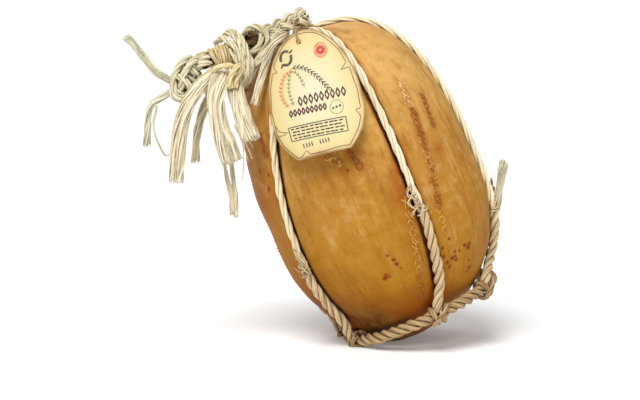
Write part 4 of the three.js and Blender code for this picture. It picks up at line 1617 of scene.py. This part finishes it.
@dataclass
class Harness:
    """The six ropes with their splices and hitches, the foot ring and the knot on the crown."""

    upper_finish: bpy.types.Material
    lower_finish: bpy.types.Material
    ring_finish: bpy.types.Material
    upper_radius: float = 2.9
    lower_radius: float = 4.2
    crown_end: float = 178.7
    splices: tuple[float, ...] = (88, 72, 84, 78, 88, 80)
    leaves_rind: float = 52.0
    sunk: float = 0.5
    hitch_radius: float = 2.15
    hitch_half: float = 5.2
    bar_half: float = 7.5
    loop_shapes: tuple[tuple[Point, ...], ...] = (
        ((1, 21, 3), (4.5, 19.5, 2.5), (6.8, 15, 2.2), (4.5, 11, 2.6), (0.5, 9, 3.2)),
        ((0.5, 14, 3.2), (5.5, 12.5, 2.6), (8.8, 8.5, 2.2), (6.5, 4, 2.6), (1, 3, 3.4)),
        ((0, 7.5, 3.6), (4.5, 3.5, 3.2), (9.5, -0.5, 2.6)))

    def build(self) -> None:
        """Makes every rope of the harness."""
        self.ring()
        self.crown_knot()
        for rope in range(len(BODY.bearings)):
            self.upper(rope)
            self.lower(rope)
            self.splice(rope)
            self.hitch(rope)

    def ring(self) -> bpy.types.Object:
        """Lays the closed three-strand ring round the foot."""
        bearings = np.arange(0, 360, 7.5)
        line = RING.beside(BODY, bearings, np.zeros(len(bearings)), 0.0)
        line[:, 2] += 0.5 * np.sin(np.radians(bearings * 3))
        ring = lay_rope(line, RING.rope_radius + 0.5, RING_LAY, closed=True, seed=2.0)
        press_on_floor(ring)
        return finish_piece(ring, "foot_ring_rope", self.ring_finish, ["foot_ring"])

    def crown_knot(self) -> bpy.types.Object:
        """Ties the knot in which the six ropes meet: two flat turns and a crossing cord."""
        turn = np.radians(np.arange(0, 360, 20))
        height = BODY.length + 5.0
        turns = [BODY.stand(np.stack([reach * np.cos(turn), reach * np.sin(turn),
                                      np.full(len(turn), rise)], axis=1))
                 for reach, rise in ((5.4, height), (3.1, height + 1.8))]
        cross = BODY.stand(np.array([[-8, -3, height - 2], [-5, -1, height + 2.2], [0, 1, height + 3.4],
                                     [5, 2.5, height + 2.2], [8, 4, height - 2]]))
        pieces = [lay_rope(turns[0], 2.6, FINE, closed=True), lay_rope(turns[1], 2.1, FINE, closed=True),
                  lay_rope(cross, 2.0, FINE)]
        return finish_piece(join_pieces(pieces), "crown_knot_turns", self.upper_finish,
                            ["crown_knot"])

    def upper(self, rope: int) -> bpy.types.Object:
        """Lays the thin, loosely twisted upper length of a rope."""
        line = BODY.rope_line(rope, self.splices[rope] - 1.0, self.crown_end - 1.5,
                              self.upper_radius - self.sunk)
        made = lay_rope(line, self.upper_radius + 0.05, THIN, seed=rope * 1.7,
                        swell=(1.15, 1.0, 1.05, 0.95, 1.05, 0.9, 0.7))
        return finish_piece(made, f"rope_{rope}_upper_lay", self.upper_finish,
                            [f"rope_{rope}_upper"])

    def lower(self, rope: int) -> bpy.types.Object:
        """Lays the thick, hard-twisted lower length of a rope down to the ring."""
        meets = RING.hitch_bearing(BODY, rope)
        rind = BODY.rope_line(rope, self.splices[rope] + 2.0, self.leaves_rind,
                              self.lower_radius - self.sunk)
        line = np.vstack([rind, RING.beside(BODY, [meets] * 2, [50, 50], np.array([8.4, 1.0]))])
        made = lay_rope(line, self.lower_radius, THICK, seed=rope * 2.3,
                        swell=(0.8, 1.0, 1.0, 1.0, 1.0, 0.95))
        press_on_floor(made)
        return finish_piece(made, f"rope_{rope}_lower_lay", self.lower_finish,
                            [f"rope_{rope}_lower"])

    def splice(self, rope: int) -> bpy.types.Object:
        """Binds the place where a rope's doubled end is tucked into it, and leaves its ends frayed."""
        middle = self.splices[rope]
        core = BODY.rope_line(rope, middle - 5.0, middle + 5.0, self.upper_radius + 0.3, 1.0)
        turns = coil(core[3:-3], self.upper_radius + 0.6, 1.0, rope * 50)
        curls = [self.side_loop(rope, shape, number) for number, shape in enumerate(self.loop_shapes)]
        finish_piece(join_pieces(curls), f"splice_{rope}_curls", self.lower_finish)
        pieces = [lay_rope(turns, 1.5, WRAP, seed=rope), self.tucked_end(rope, core)]
        return finish_piece(join_pieces(pieces), f"splice_{rope}_wrap", self.lower_finish,
                            [f"splice_{rope}"])

    def side_loop(self, rope: int, shape: Sequence[Sequence[float]], number: int) -> bpy.types.Object:
        """Bends a small loop of cord out of a splice.

        Args:
            rope: The rope's number.
            shape: The loop's flat points beside the splice: aside, up and off the rind.
            number: The loop's number at this splice.

        Returns:
            The loop.
        """
        angle = math.radians(self.splices[rope])
        steps, along = BODY.arc(360)
        side = -1 if rope % 2 == 0 else 1
        points = []
        for aside, up, off in shape:
            climbed = np.interp(np.interp(angle, steps, along) + up, along, steps)
            bearing = BODY.bearing(rope, climbed) + np.degrees(side * aside / BODY.radius)
            points.append(BODY.surface(np.array([bearing]), np.array([climbed]), off)[0])
        return lay_rope(points, 1.15, FINE, seed=rope + number)

    def tucked_end(self, rope: int, core: np.ndarray) -> bpy.types.Object:
        """Makes the frayed straw that stands out of a splice.

        Args:
            rope: The rope's number.
            core: The rope's line at the splice.

        Returns:
            The fibres.
        """
        first, second = side_directions(core)
        found = []
        for fibre in range(9):
            start = 2 + fibre % 5
            turn = fibre * 1.9 + rope
            aside = first[start] * math.cos(turn) + second[start] * math.sin(turn)
            outward = core[start] - np.array([BODY.foot_place * 0.2, 0, core[start][2]])
            aside += 0.7 * outward / np.linalg.norm(outward)
            ahead = unit(core[-1] - core[0])
            reach = 3.0 + 4.0 * ((fibre * 7) % 5) / 4
            found.append(np.array([core[start] + aside * 2.0,
                                   core[start] + aside * 4.4 + ahead * reach * 0.5,
                                   core[start] + aside * 5.2 + ahead * reach]))
        return fibres(found, 0.32)

    def hitch(self, rope: int) -> bpy.types.Object:
        """Ties a rope's end round the ring in two turns with a bar across them."""
        middle = RING.hitch_bearing(BODY, rope)
        wrap = RING.rope_radius + self.hitch_radius + 0.1
        share = np.linspace(0, 1, 56)
        turn = 95 - 360 * 2 * share
        bearing = middle + math.degrees(self.hitch_half / RING.radius) * (2 * share - 1)
        pieces = [lay_rope(RING.beside(BODY, bearing, turn, wrap), self.hitch_radius, CORD, seed=rope)]
        bar = middle + math.degrees(self.bar_half / RING.radius) * np.linspace(-1, 1, 5)
        pieces.append(lay_rope(RING.beside(BODY, bar, np.array([-50, -22, -8, 12, 45]), wrap + 1.6),
                               self.hitch_radius * 0.9, CORD, seed=rope + 0.5))
        made = join_pieces(pieces)
        press_on_floor(made)
        return finish_piece(made, f"hitch_{rope}_turns", self.ring_finish, [f"hitch_{rope}"])


@dataclass
class Handle:
    """The rope handle over the cheese's left shoulder: plait, loops, bights, binding and end knot."""

    cord_finish: bpy.types.Material
    binding_finish: bpy.types.Material
    knot_finish: bpy.types.Material
    tie_finish: bpy.types.Material
    heart_shade_finish: bpy.types.Material
    low_finish: bpy.types.Material
    spine: tuple[Point, ...] = ((-54, -14, 244), (-65, -20, 240), (-77, -26, 235), (-90, -29, 231),
                                (-104.5, -31.5, 226.3))
    plait_start: Point = (-24, -8, 262.6)
    plait_end: Point = (-54, -15, 248)
    plait_across: Point = (0.3, 0.62, 0.72)
    plait_turns: float = 1.15
    plait_width: float = 5.4
    plait_depth: float = 3.0
    plait_cord: float = 2.4
    bights: tuple[tuple[Point, ...], ...] = (
        ((-88, -14, 246), (-83, -22, 251), (-77, -30, 250), (-72, -37, 245), (-69, -41, 238),
         (-66, -43, 230), (-64, -42, 222), (-65, -37, 214), (-70, -30, 209)),
        ((-94, -16, 241), (-89, -25, 246), (-83, -34, 244), (-77, -40, 239), (-73, -44, 232),
         (-70, -45, 224), (-69, -43, 216), (-71, -37, 209)),
        ((-90, -12, 243), (-85, -20, 249), (-79, -31, 248), (-74, -38, 241), (-71, -42, 233),
         (-68, -45, 224), (-66, -41, 216), (-71, -31, 207)),
        ((-82, -34, 237), (-77, -40, 231), (-74, -43, 224), (-73, -42, 216), (-75, -38, 208)))
    loops: tuple[tuple[Point, ...], ...] = (
        ((-73, -12, 246), (-69, -18, 252), (-63, -22, 255), (-58, -25, 254), (-54, -27, 250),
         (-52, -29, 245), (-54, -31, 239), (-57, -33, 234), (-61, -35, 229), (-64, -37, 223)),
        ((-62, -14, 251), (-58, -21, 250), (-57, -27, 245), (-59, -30, 240), (-63, -31, 236),
         (-68, -30, 234)),
        ((-43, -14, 251), (-47, -22, 247), (-50, -29, 241), (-54, -33, 235), (-57, -35, 230),
         (-61, -36, 225), (-64, -35, 218)))
    low_loops: tuple[tuple[Point, ...], ...] = (
        ((-80, -27, 211), (-77, -32, 205), (-72, -34, 203), (-68, -32, 206), (-64, -30, 212)),
        ((-68, -32, 222), (-65, -33, 215), (-66, -31, 208), (-71, -29, 206), (-76, -27, 210)))
    inner_cords: tuple[tuple[Point, ...], ...] = (
        ((-72, -8, 247), (-65, -11, 244), (-61, -13, 239), (-62, -16, 231), (-67, -20, 225)),
        ((-68, -6, 249), (-62, -8, 247), (-57, -11, 241), (-59, -14, 233), (-64, -18, 225)),
        ((-75, -12, 243), (-69, -14, 238), (-66, -18, 231), (-67, -22, 224), (-70, -26, 215)),
        ((-48, -12, 247), (-55, -16, 240), (-60, -20, 233), (-66, -24, 226), (-74, -28, 221)))
    neck_cords: tuple[tuple[Point, ...], ...] = (
        ((-97.5, -34, 231.5), (-101, -37, 231), (-105.5, -37, 229), (-110, -35, 226)),
        ((-96.5, -36.5, 227), (-100, -39, 227.5), (-105, -39, 225.5), (-110, -36, 222)),
        ((-98, -29, 234), (-101, -32, 234.5), (-106, -33, 232.5), (-111, -31, 229)))
    binding_start: Point = (-81.5, -26.8, 233.4)
    binding_end: Point = (-97.5, -30.3, 227.4)
    binding_reach: float = 8.3
    binding_turns: float = 5.1
    binding_cord: float = 2.3
    loop_cord: float = 2.5
    low_cord: float = 3.0
    inner_cord: float = 3.6
    crossing_cord: float = 2.8
    core_radius: float = 5.6
    tie_arch: tuple[Point, ...] = ((-97, -37, 219), (-94, -43, 222), (-90, -46, 225), (-85, -48, 226),
                                   (-81, -48, 226), (-78, -45, 224), (-75, -38, 221))
    tie_bight: tuple[Point, ...] = ((-81, -49, 208), (-81, -50, 217), (-78, -51, 222), (-75, -50, 226),
                                    (-73, -48, 226), (-73, -47, 221), (-76, -47, 215), (-77, -47, 208))
    knot_start: Point = (-110, -32, 226)
    knot_end: Point = (-124, -36, 199)
    crossing_cords: tuple[tuple[Point, ...], ...] = (
        ((-106, -33, 232), (-111, -41, 229), (-116, -45, 222), (-119, -45, 213), (-121, -40, 205)),
        ((-126, -36, 217), (-122, -43, 217), (-116, -46, 213), (-112, -44, 207), (-113, -38, 202)),
        ((-113, -32, 232), (-120, -38, 227), (-125, -42, 219), (-126, -43, 209), (-122, -42, 199)),
        ((-127, -35, 209), (-126, -42, 203), (-121, -45, 200), (-115, -44, 202), (-110, -39, 209)))
    knot_turns: tuple[tuple[float, float, float], ...] = ((0.1, 5, 16), (0.36, 6.6, -20), (0.64, 7, 22),
                                                         (0.9, 5.2, -16))

    def build(self) -> None:
        """Makes the handle's pieces."""
        self.plait()
        self.heart()
        self.hanging_loops()
        self.shaded_loops()
        self.binding()
        self.end_knot()
        self.tie()

    def plait(self) -> bpy.types.Object:
        """Plaits three doubled cords along the first length of the handle."""
        start, end = np.array(self.plait_start, float), np.array(self.plait_end, float)
        along = end - start
        across = np.array(self.plait_across)
        across = unit(across - along * (across @ along) / (along @ along))
        through = np.cross(unit(along), across)
        share = np.linspace(-0.06, 1.06, 37)
        pieces = []
        for cord in range(6):
            strand, beside = divmod(cord, 2)
            phase = 2 * math.pi * (self.plait_turns * share + strand / 3)
            wide = self.plait_width * np.sin(phase) + (beside - 0.5) * self.plait_cord * 1.5
            line = (start + np.outer(share + 0.03 * beside, along) + np.outer(wide, across)
                    + np.outer(self.plait_depth * np.sin(2 * phase), through))
            pieces.append(lay_rope(line, self.plait_cord, SOFT, seed=cord))
        return finish_piece(join_pieces(pieces), "handle_plait", self.cord_finish,
                            ["rope_handle"])

    def hanging_loops(self) -> bpy.types.Object:
        """Bends the open loops and the bights round the handle's spine."""
        pieces = [lay_rope(line, self.loop_cord, CORD, seed=number * 1.3, swell=(0.9, 1.05, 1.0, 1.1, 0.95))
                  for number, line in enumerate((*self.bights, *self.loops, *self.neck_cords))]
        return finish_piece(join_pieces(pieces), "handle_loops", self.cord_finish)

    def shaded_loops(self) -> bpy.types.Object:
        """Bends the loops under the bights in browner straw, painted shade of the bights above them."""
        pieces = [lay_rope(line, self.low_cord, CORD, seed=number + 0.4)
                  for number, line in enumerate(self.low_loops)]
        return finish_piece(join_pieces(pieces), "handle_low_loops", self.low_finish)

    def heart(self) -> bpy.types.Object:
        """Lays the cords inside the handle in near-black brown straw, painted shade that shows between its
        loops.
        """
        pieces = [lay_rope(self.spine, self.core_radius, THICK, seed=9.0)]
        pieces += [lay_rope(line, self.inner_cord, CORD, seed=3.0 + number)
                   for number, line in enumerate(self.inner_cords)]
        return finish_piece(join_pieces(pieces), "handle_heart", self.heart_shade_finish)

    def binding(self) -> bpy.types.Object:
        """Winds the thin cord that binds the handle."""
        route = smooth_route([self.binding_start, self.binding_end], 1.0)
        wound = lay_rope(coil(route, self.binding_reach, self.binding_turns, 40), self.binding_cord, CORD,
                         seed=4.0)
        return finish_piece(wound, "handle_binding_turns", self.binding_finish,
                            ["handle_binding"])

    def end_knot(self) -> bpy.types.Object:
        """Ties the big knot at the handle's end from tilted turns of cord."""
        start, end = np.array(self.knot_start, float), np.array(self.knot_end, float)
        along = end - start
        length = float(np.linalg.norm(along))
        along /= length
        first = unit(np.cross(along, (0.0, 1.0, 0.0)))
        second = np.cross(along, first)
        turn = np.radians(np.arange(0, 360, 20))
        pieces = []
        for number, (share, reach, tilt) in enumerate(self.knot_turns):
            for side in (-1, 1):
                lean = math.tan(math.radians(tilt + 7 * side))
                rise = share * length + side * 2.2 + reach * np.sin(turn) * lean
                wide = reach + 0.7 + 0.5 * np.sin(2 * turn + number + side)
                line = (start + np.outer(rise, along) + np.outer(wide * np.cos(turn), first)
                        + np.outer(wide * np.sin(turn), second))
                pieces.append(lay_rope(line, self.loop_cord, CORD, closed=True, seed=number + side))
        core = [start, (start + end) / 2, end]
        pieces.append(lay_rope(core, self.core_radius, THICK, seed=5.0, swell=(0.7, 1.0, 0.7)))
        pieces += [lay_rope(line, self.crossing_cord, CORD, seed=number + 0.2)
                   for number, line in enumerate(self.crossing_cords)]
        return finish_piece(join_pieces(pieces), "end_knot_turns", self.knot_finish,
                            ["end_knot"])

    def tie(self) -> bpy.types.Object:
        """Ties the tassel's roots with a yellow strip of straw and a short standing bight."""
        pieces = [lay_rope(self.tie_arch, 1.9, PLAIN, seed=1.0),
                  lay_rope(self.tie_bight, 2.3, CORD, seed=2.0)]
        return finish_piece(join_pieces(pieces), "tassel_tie", self.tie_finish)


class Ink(Enum):
    """The tag's printing inks: each with its tint and the tint where it is worn."""

    BROWN = ("7e5224", "b58c4c")
    DARK = ("43161a", "7d3a3c")
    RED = ("b81a16", "d8473c")
    ORANGE = ("e0824a", "f0b488")
    GREEN = ("7d8a46", "aab080")
    GREY = ("3c4234", "707860")


@dataclass
class Tag:
    """The card tag with its plain printed ornaments, and the string that holds it."""

    card_finish: bpy.types.Material
    string_finish: bpy.types.Material
    half_width: float = 37.2
    top: float = 53.0
    bottom: float = -50.0
    widest: float = -10.0
    foot_half_width: float = 21.5
    corner_turn: float = -31.0
    corner_drop: float = 13.0
    thickness: float = 0.8
    ink_height: float = 0.14
    bend_radius: float = 170.0
    hole_radius: float = 2.2
    hole_height: float = 43.6
    hole_side: float = -3.1
    centre: Point = (-16.4, -78.6, 206.5)
    right: Point = (0.951, -0.159, 0.266)
    up: Point = (-0.183, 0.408, 0.895)
    sectors: int = 160
    rows: int = 14

    def build(self) -> None:
        """Makes the card, its print and its string."""
        self.card()
        self.print_ornaments()
        self.string()

    def outline(self) -> np.ndarray:
        """Gives the tag's outline as flat points from the lower right corner round to the left."""
        turns = np.radians(np.linspace(self.corner_turn, 90, 34))
        reach = np.where(turns > 0, self.top - self.widest, self.widest - self.bottom + self.corner_drop)
        right = np.stack([self.half_width * np.cos(turns), self.widest + reach * np.sin(turns)], axis=1)
        right = np.vstack([[self.foot_half_width, self.bottom], right])
        left = right[:-1][::-1] * (-1, 1)
        return np.vstack([right, left])

    def reach(self, turn: np.ndarray) -> np.ndarray:
        """Gives the outline's distance from the tag's middle at some turns in radians."""
        rim = self.outline()
        rim = rim[np.argsort(np.arctan2(rim[:, 1], rim[:, 0]))]
        steps = np.linspace(0, 1, 8, endpoint=False)[:, None]
        dense = np.vstack([one + (other - one) * steps for one, other in zip(rim, np.roll(rim, -1, axis=0))])
        angle = np.arctan2(dense[:, 1], dense[:, 0])
        order = np.argsort(angle)
        return np.interp(turn, angle[order], np.hypot(*dense.T)[order], period=2 * math.pi)

    def set_out(self, points: np.ndarray) -> np.ndarray:
        """Bends flat points with the card and hangs them where the tag hangs.

        Args:
            points: Rows of points in the tag's flat frame.

        Returns:
            Rows of points in metres in the object's frame.
        """
        bent = np.array(points, float)
        bent[:, 2] -= bent[:, 0] ** 2 / (2 * self.bend_radius)
        bent[:, 2] += 0.35 * np.sin(bent[:, 1] / 17.0) * np.cos(bent[:, 0] / 23.0)
        right = unit(np.array(self.right))
        up = unit(np.array(self.up) - right * (np.array(self.up) @ right))
        outward = np.cross(right, up)
        return place(np.array(self.centre) + bent @ np.stack([right, up, outward]))

    def card(self) -> bpy.types.Object:
        """Cuts the card, punches its hole and bends it."""
        deselect_all()
        bpy.ops.mesh.primitive_uv_sphere_add(segments=self.sectors, ring_count=2 * self.rows, radius=1.0)
        card = bpy.context.active_object
        unit = read_points(card)
        row = np.arccos(np.clip(np.abs(unit[:, 2]), 0, 1)) / (math.pi / 2)
        turn = np.arctan2(unit[:, 1], unit[:, 0])
        reach = self.reach(turn) * row
        height = np.where(row > 0.999, 0.5, np.where(unit[:, 2] > 0, 1.0, 0.0)) * self.thickness
        write_points(card, np.stack([reach * np.cos(turn), reach * np.sin(turn), height], axis=1) * MM)
        self.punch(card)
        flat = read_points(card) / MM
        share = np.hypot(flat[:, 0], flat[:, 1]) / self.reach(np.arctan2(flat[:, 1], flat[:, 0]))
        write_points(card, self.set_out(flat))
        add_attribute(card, "rim", share)
        close_mesh(card, 1e-7)
        make_active(card)
        bpy.ops.object.shade_smooth_by_angle(angle=math.radians(40))
        return finish_piece(card, "tag_card", self.card_finish, ["tag"])

    def punch(self, card: bpy.types.Object) -> None:
        """Punches the string's hole through the flat card."""
        deselect_all()
        bpy.ops.mesh.primitive_cylinder_add(vertices=32, radius=self.hole_radius * MM, depth=0.02,
                                            location=(self.hole_side * MM, self.hole_height * MM, 0))
        punch = bpy.context.active_object
        make_active(card)
        cut = card.modifiers.new("hole", "BOOLEAN")
        cut.operation = "DIFFERENCE"
        cut.solver = "EXACT"
        cut.object = punch
        bpy.ops.object.modifier_apply(modifier="hole")
        bpy.data.objects.remove(punch)

    def rule(self, line: Sequence[Sequence[float]], width: float, closed: bool = False) -> bpy.types.Object:
        """Prints one line of ink.

        Args:
            line: Flat points.
            width: The line's width.
            closed: Whether it runs back into its start.

        Returns:
            The raised ink as a mesh.
        """
        corners = [*line, line[0]] if closed else list(line)
        dense = [(*corners[0], 0)]
        for one, other in zip(corners, corners[1:]):
            count = max(1, math.ceil(math.dist(one, other) / 1.5))
            dense += [(*np.add(one, np.subtract(other, one) * step / count), 0)
                      for step in range(1, count + 1)]
        if closed:
            dense.pop()
        rule = tubes([np.array(dense, float) * MM], width / 2, closed=closed)
        flat = read_points(rule) / MM
        flat[:, 2] = self.thickness + flat[:, 2] / (width / 2) * self.ink_height
        write_points(rule, self.set_out(flat))
        return rule

    def disc(self, middle: Sequence[float], radius: float) -> bpy.types.Object:
        """Prints one filled disc of ink."""
        deselect_all()
        bpy.ops.mesh.primitive_uv_sphere_add(segments=20, ring_count=6, radius=1.0)
        disc = bpy.context.active_object
        unit = read_points(disc)
        flat = unit * (radius, radius, 0.16) + (middle[0], middle[1], self.thickness)
        write_points(disc, self.set_out(flat))
        return disc

    def dress(self, pieces: Sequence[bpy.types.Object], name: str, ink: Ink) -> bpy.types.Object:
        """Joins some printed pieces and gives them their ink."""
        made = join_pieces(pieces)
        close_mesh(made, 1e-7)
        finish = InkFinish(f"ink_{ink.name.lower()}", *ink.value)
        material = bpy.data.materials.get(finish.name) or finish.material()
        return finish_piece(made, name, material)

    def print_ornaments(self) -> None:
        """Prints the border, the seal, the rings, the sprig, the ears, the lozenges and the panel."""
        self.dress([self.rule(self.border(), 0.7, closed=True),
                    self.rule([(-34.6, -17.0), (-32.2, -22.5), (-29.0, -24.3), (-25.4, -25.4)], 0.8),
                    self.rule([(-33.0, -26.2), (-29.5, -26.6), (-27.0, -26.0)], 0.7)],
                   "tag_border", Ink.BROWN)
        self.seal((12.4, 32.7))
        ring = [self.rule(oval((-15.6, 33.4), 4.3, 5.7, np.radians(np.arange(start, start + 156, 12))), 2.3)
                for start in (52, 232)]
        self.dress(ring, "tag_broken_ring", Ink.GREY)
        tips = [self.rule(tip, 1.4) for tip in (((-12.4, 36.6), (-9.4, 38.4)),
                                                ((-18.8, 29.6), (-20.6, 26.4)))]
        self.dress(tips, "tag_ring_tips", Ink.DARK)
        self.dress(self.sprig(((-12.7, 23.6), (-7.7, 23.8), (-1.7, 20.4), (3.1, 15.7), (6.9, 10.5),
                               (10.6, 4.6), (13.4, -1.1)), 3.0, 0.8), "tag_sprig", Ink.DARK)
        self.dress(self.sprig(((-20.6, -6.3), (-23.6, -0.8), (-24.9, 7.1), (-22.9, 13.9), (-18.6, 20.0),
                               (-13.0, 22.2)), 2.4, 1.2), "tag_ear_ripe", Ink.ORANGE)
        self.dress([*self.sprig(((-16.4, -5.9), (-17.9, 1.4), (-18.0, 7.9), (-16.4, 15.8), (-13.8, 22.0)),
                                2.0, 0.8),
                    *self.sprig(((-5.3, 6.4), (-6.8, 13.0), (-9.3, 18.7), (-12.4, 22.0)), 2.0, 0.8)],
                   "tag_ears_green", Ink.GREEN)
        self.dress([*self.lozenges((-13.1, -3.8), (25.6, -4.3), 9, 7.8, 2.9),
                    *self.lozenges((-21.8, -11.5), (8.8, -12.9), 9, 5.6, 2.3)], "tag_lozenges", Ink.DARK)
        circle = oval((16.1, -15.4), 5.2, 5.6, np.radians(np.arange(0, 360, 18)))
        self.dress([self.rule(circle, 0.6, closed=True)], "tag_small_ring", Ink.GREEN)
        self.dress([self.disc((16.1 + aside, -15.4 + 0.15 * aside), 1.0) for aside in (-2.7, 0, 2.7)],
                   "tag_small_dots", Ink.GREY)
        self.panel()

    def border(self) -> np.ndarray:
        """Gives the printed border: inside the edge, a little uneven, with four small nicks."""
        turn = np.radians(np.arange(0, 360, 2.0))
        inset = 2.1 + 1.2 * (np.cos(turn - 0.1) + 1) / 2
        inset = inset + 0.25 * np.sin(turn * 13)
        for nick, depth in ((28, 6.6), (-35, 5.2), (-107, 4.8), (136, 4.2)):
            away = np.abs((np.degrees(turn) - nick + 180) % 360 - 180)
            inset = inset + depth * np.clip(1 - away / 3.6, 0, 1)
        reach = self.reach(turn) - inset
        return np.stack([reach * np.cos(turn), reach * np.sin(turn)], axis=1)

    def seal(self, middle: Sequence[float]) -> None:
        """Prints the round seal: an orange ring about a red rosette."""
        rim = oval(middle, 4.4, 5.5, np.radians(np.arange(0, 360, 15)))
        self.dress([self.rule(rim, 1.9, closed=True)], "tag_seal_rim", Ink.ORANGE)
        petals = [self.disc(spot, 1.5) for spot in oval(middle, 1.9, 2.4, np.radians(np.arange(0, 360, 45)))]
        self.dress(petals, "tag_seal_rosette", Ink.RED)
        self.dress([self.disc(middle, 1.2)], "tag_seal_heart", Ink.ORANGE)

    def sprig(self, line: Sequence[Sequence[float]], leaf: float, width: float) -> list[bpy.types.Object]:
        """Prints a stem with paired leaves.

        Args:
            line: The stem's flat points.
            leaf: The leaves' length.
            width: The leaves' width.

        Returns:
            The printed pieces.
        """
        flat = np.array([(x, y, 0) for x, y in line], float)
        stem = smooth_route(flat, 1.6)[:, :2]
        pieces = [self.rule(stem, 0.5)]
        for index in range(1, len(stem) - 1, 2):
            ahead = unit(stem[index + 1] - stem[index])
            aside = np.array([-ahead[1], ahead[0]])
            for side in (-1, 1):
                tip = stem[index] + ahead * leaf * 0.8 + aside * side * leaf * 0.55
                middle = stem[index] + ahead * leaf * 0.35 + aside * side * leaf * 0.4
                pieces.append(self.rule([stem[index], middle, tip], width))
        return pieces

    def lozenges(self, start: Sequence[float], end: Sequence[float], count: int, height: float,
                 width: float) -> list[bpy.types.Object]:
        """Prints a row of open lozenges.

        Args:
            start: The row's start.
            end: Its end.
            count: How many lozenges it has.
            height: Their height.
            width: Their width.

        Returns:
            The printed pieces.
        """
        start, end = np.array(start, float), np.array(end, float)
        along = unit(end - start)
        upright = np.array([-along[1], along[0]])
        pieces = []
        for number in range(count):
            middle = start + (end - start) * (number + 0.5) / count
            corners = [middle + upright * height / 2, middle + along * width / 2,
                       middle - upright * height / 2, middle - along * width / 2]
            pieces.append(self.rule(corners, 1.15, closed=True))
        return pieces

    def panel(self) -> None:
        """Prints the framed panel with rows of short rules, and a row of ticks below it."""
        upper_left, upper_right = np.array([-24.5, -22.2]), np.array([21.4, -24.6])
        lower_right, lower_left = np.array([21.2, -36.2]), np.array([-23.4, -33.4])
        frame_line = [upper_left, upper_right, lower_right, lower_left]
        self.dress([self.rule(frame_line, 0.85, closed=True)], "tag_panel_frame", Ink.GREY)
        dashes = []
        for row in range(4):
            down = (row + 0.75) / 4.5
            start = upper_left + (lower_left - upper_left) * down + (1.8 + 0.7 * (row % 2), 0)
            end = upper_right + (lower_right - upper_right) * down - (1.6 + 0.9 * (row % 2), 0)
            for number in range(11):
                share = number / 11
                long = 0.058 + 0.012 * ((number * 7 + row * 2) % 3)
                dashes.append(self.rule([start + (end - start) * share,
                                         start + (end - start) * (share + long)], 1.15))
        self.dress(dashes, "tag_panel_rules", Ink.DARK)
        ticks = [self.rule([(-15.0 + step, -37.9), (-14.7 + step, -41.3)], 0.95)
                 for step in (0, 2.4, 4.6, 6.8, 13.4, 15.6, 17.8, 20.0)]
        self.dress(ticks, "tag_ticks", Ink.GREY)

    def string(self) -> bpy.types.Object:
        """Ties the twine through the hole, over the card's top and back to the crown."""
        flat = np.array([[0.3, self.hole_height - 0.6, -3], [0.2, self.hole_height - 0.8, 1.4],
                         [-0.3, self.hole_height + 3.5, 2.6], [-0.8, self.top, 2.8],
                         [-1.2, self.top + 3.5, 0]]) + (self.hole_side, 0, 0)
        face = unplace(self.set_out(flat))
        back = [(-31, -38, 258), (-30, -24, 260), (-28, -10, 261)]
        return finish_piece(lay_rope(np.vstack([face, back]), 1.15, FINE, seed=3.0), "tag_string_twine",
                            self.string_finish, ["tag_string"])


def make_finishes() -> dict[str, bpy.types.Material]:
    """Mixes every finish of the cheese and its harness."""
    fibres_group = straw_group()
    straws = (
        StrawFinish("straw_upper", "fbf1d6", "eddcb2", "c8ac76", "94703e"),
        StrawFinish("straw_lower", "e6d2aa", "c8aa7c", "8a683e", "32190a"),
        StrawFinish("straw_ring", "caae82", "9e7c50", "5a3a1c", "1c0c04"),
        StrawFinish("straw_handle", "ece4c6", "d2c49a", "8e7846", "26180a"),
        StrawFinish("straw_binding", "ecdaae", "ccb27c", "826634", "2c1c0a"),
        StrawFinish("straw_knot", "ece6cc", "d0c49c", "968456", "342410"),
        StrawFinish("straw_tie", "f0e4b8", "e0cc92", "b8964e", "5c4018"),
        # Near-black brown straw: painted shade inside the handle.
        StrawFinish("straw_heart_shade", "7a5a30", "46300f", "241408", "0a0502"),
        # Browner straw: painted shade for the loops under the handle's bights.
        StrawFinish("straw_shaded", "d8b076", "a87c44", "6a4220", "32180a"),
        StrawFinish("straw_tassel", "f6eed8", "e4d7b2", "b8a06c", "6c5226", 0.7, 0.4),
        StrawFinish("straw_grey", "e4dfc8", "ccc6a4", "9e9670", "524a30", 0.7, 0.4),
        StrawFinish("twine_tan", "c8ac7c", "a08458", "6a5030", "2c1c0c"))
    made = {straw.name: straw.material(fibres_group) for straw in straws}
    made["rind"] = RindFinish().material()
    made["marks"] = StampFinish().material()
    made["card"] = CardFinish().material()
    return made


def main() -> None:
    """Builds the scene's pieces in order."""
    logging.basicConfig(level=logging.INFO, format="%(name)s %(message)s")
    studio = Studio()
    studio.set_camera()
    finishes = make_finishes()
    Tassel(finishes["straw_tassel"], finishes["straw_grey"]).build()
    rind = Rind(finishes["rind"], finishes["marks"])
    rind.build()
    rind.press_marks()
    Harness(finishes["straw_upper"], finishes["straw_lower"], finishes["straw_ring"]).build()
    Handle(finishes["straw_handle"], finishes["straw_binding"], finishes["straw_knot"],
           finishes["straw_tie"], finishes["straw_heart_shade"], finishes["straw_shaded"]).build()
    Tag(finishes["card"], finishes["twine_tan"]).build()
    studio.lay_floor()
    studio.set_lights()
    shade_gaps([piece for name, piece in PIECES.items() if name.startswith(CLOSE_KINDS)])
    LOG.info("all pieces stand")


if __name__ == "__main__":
    main()
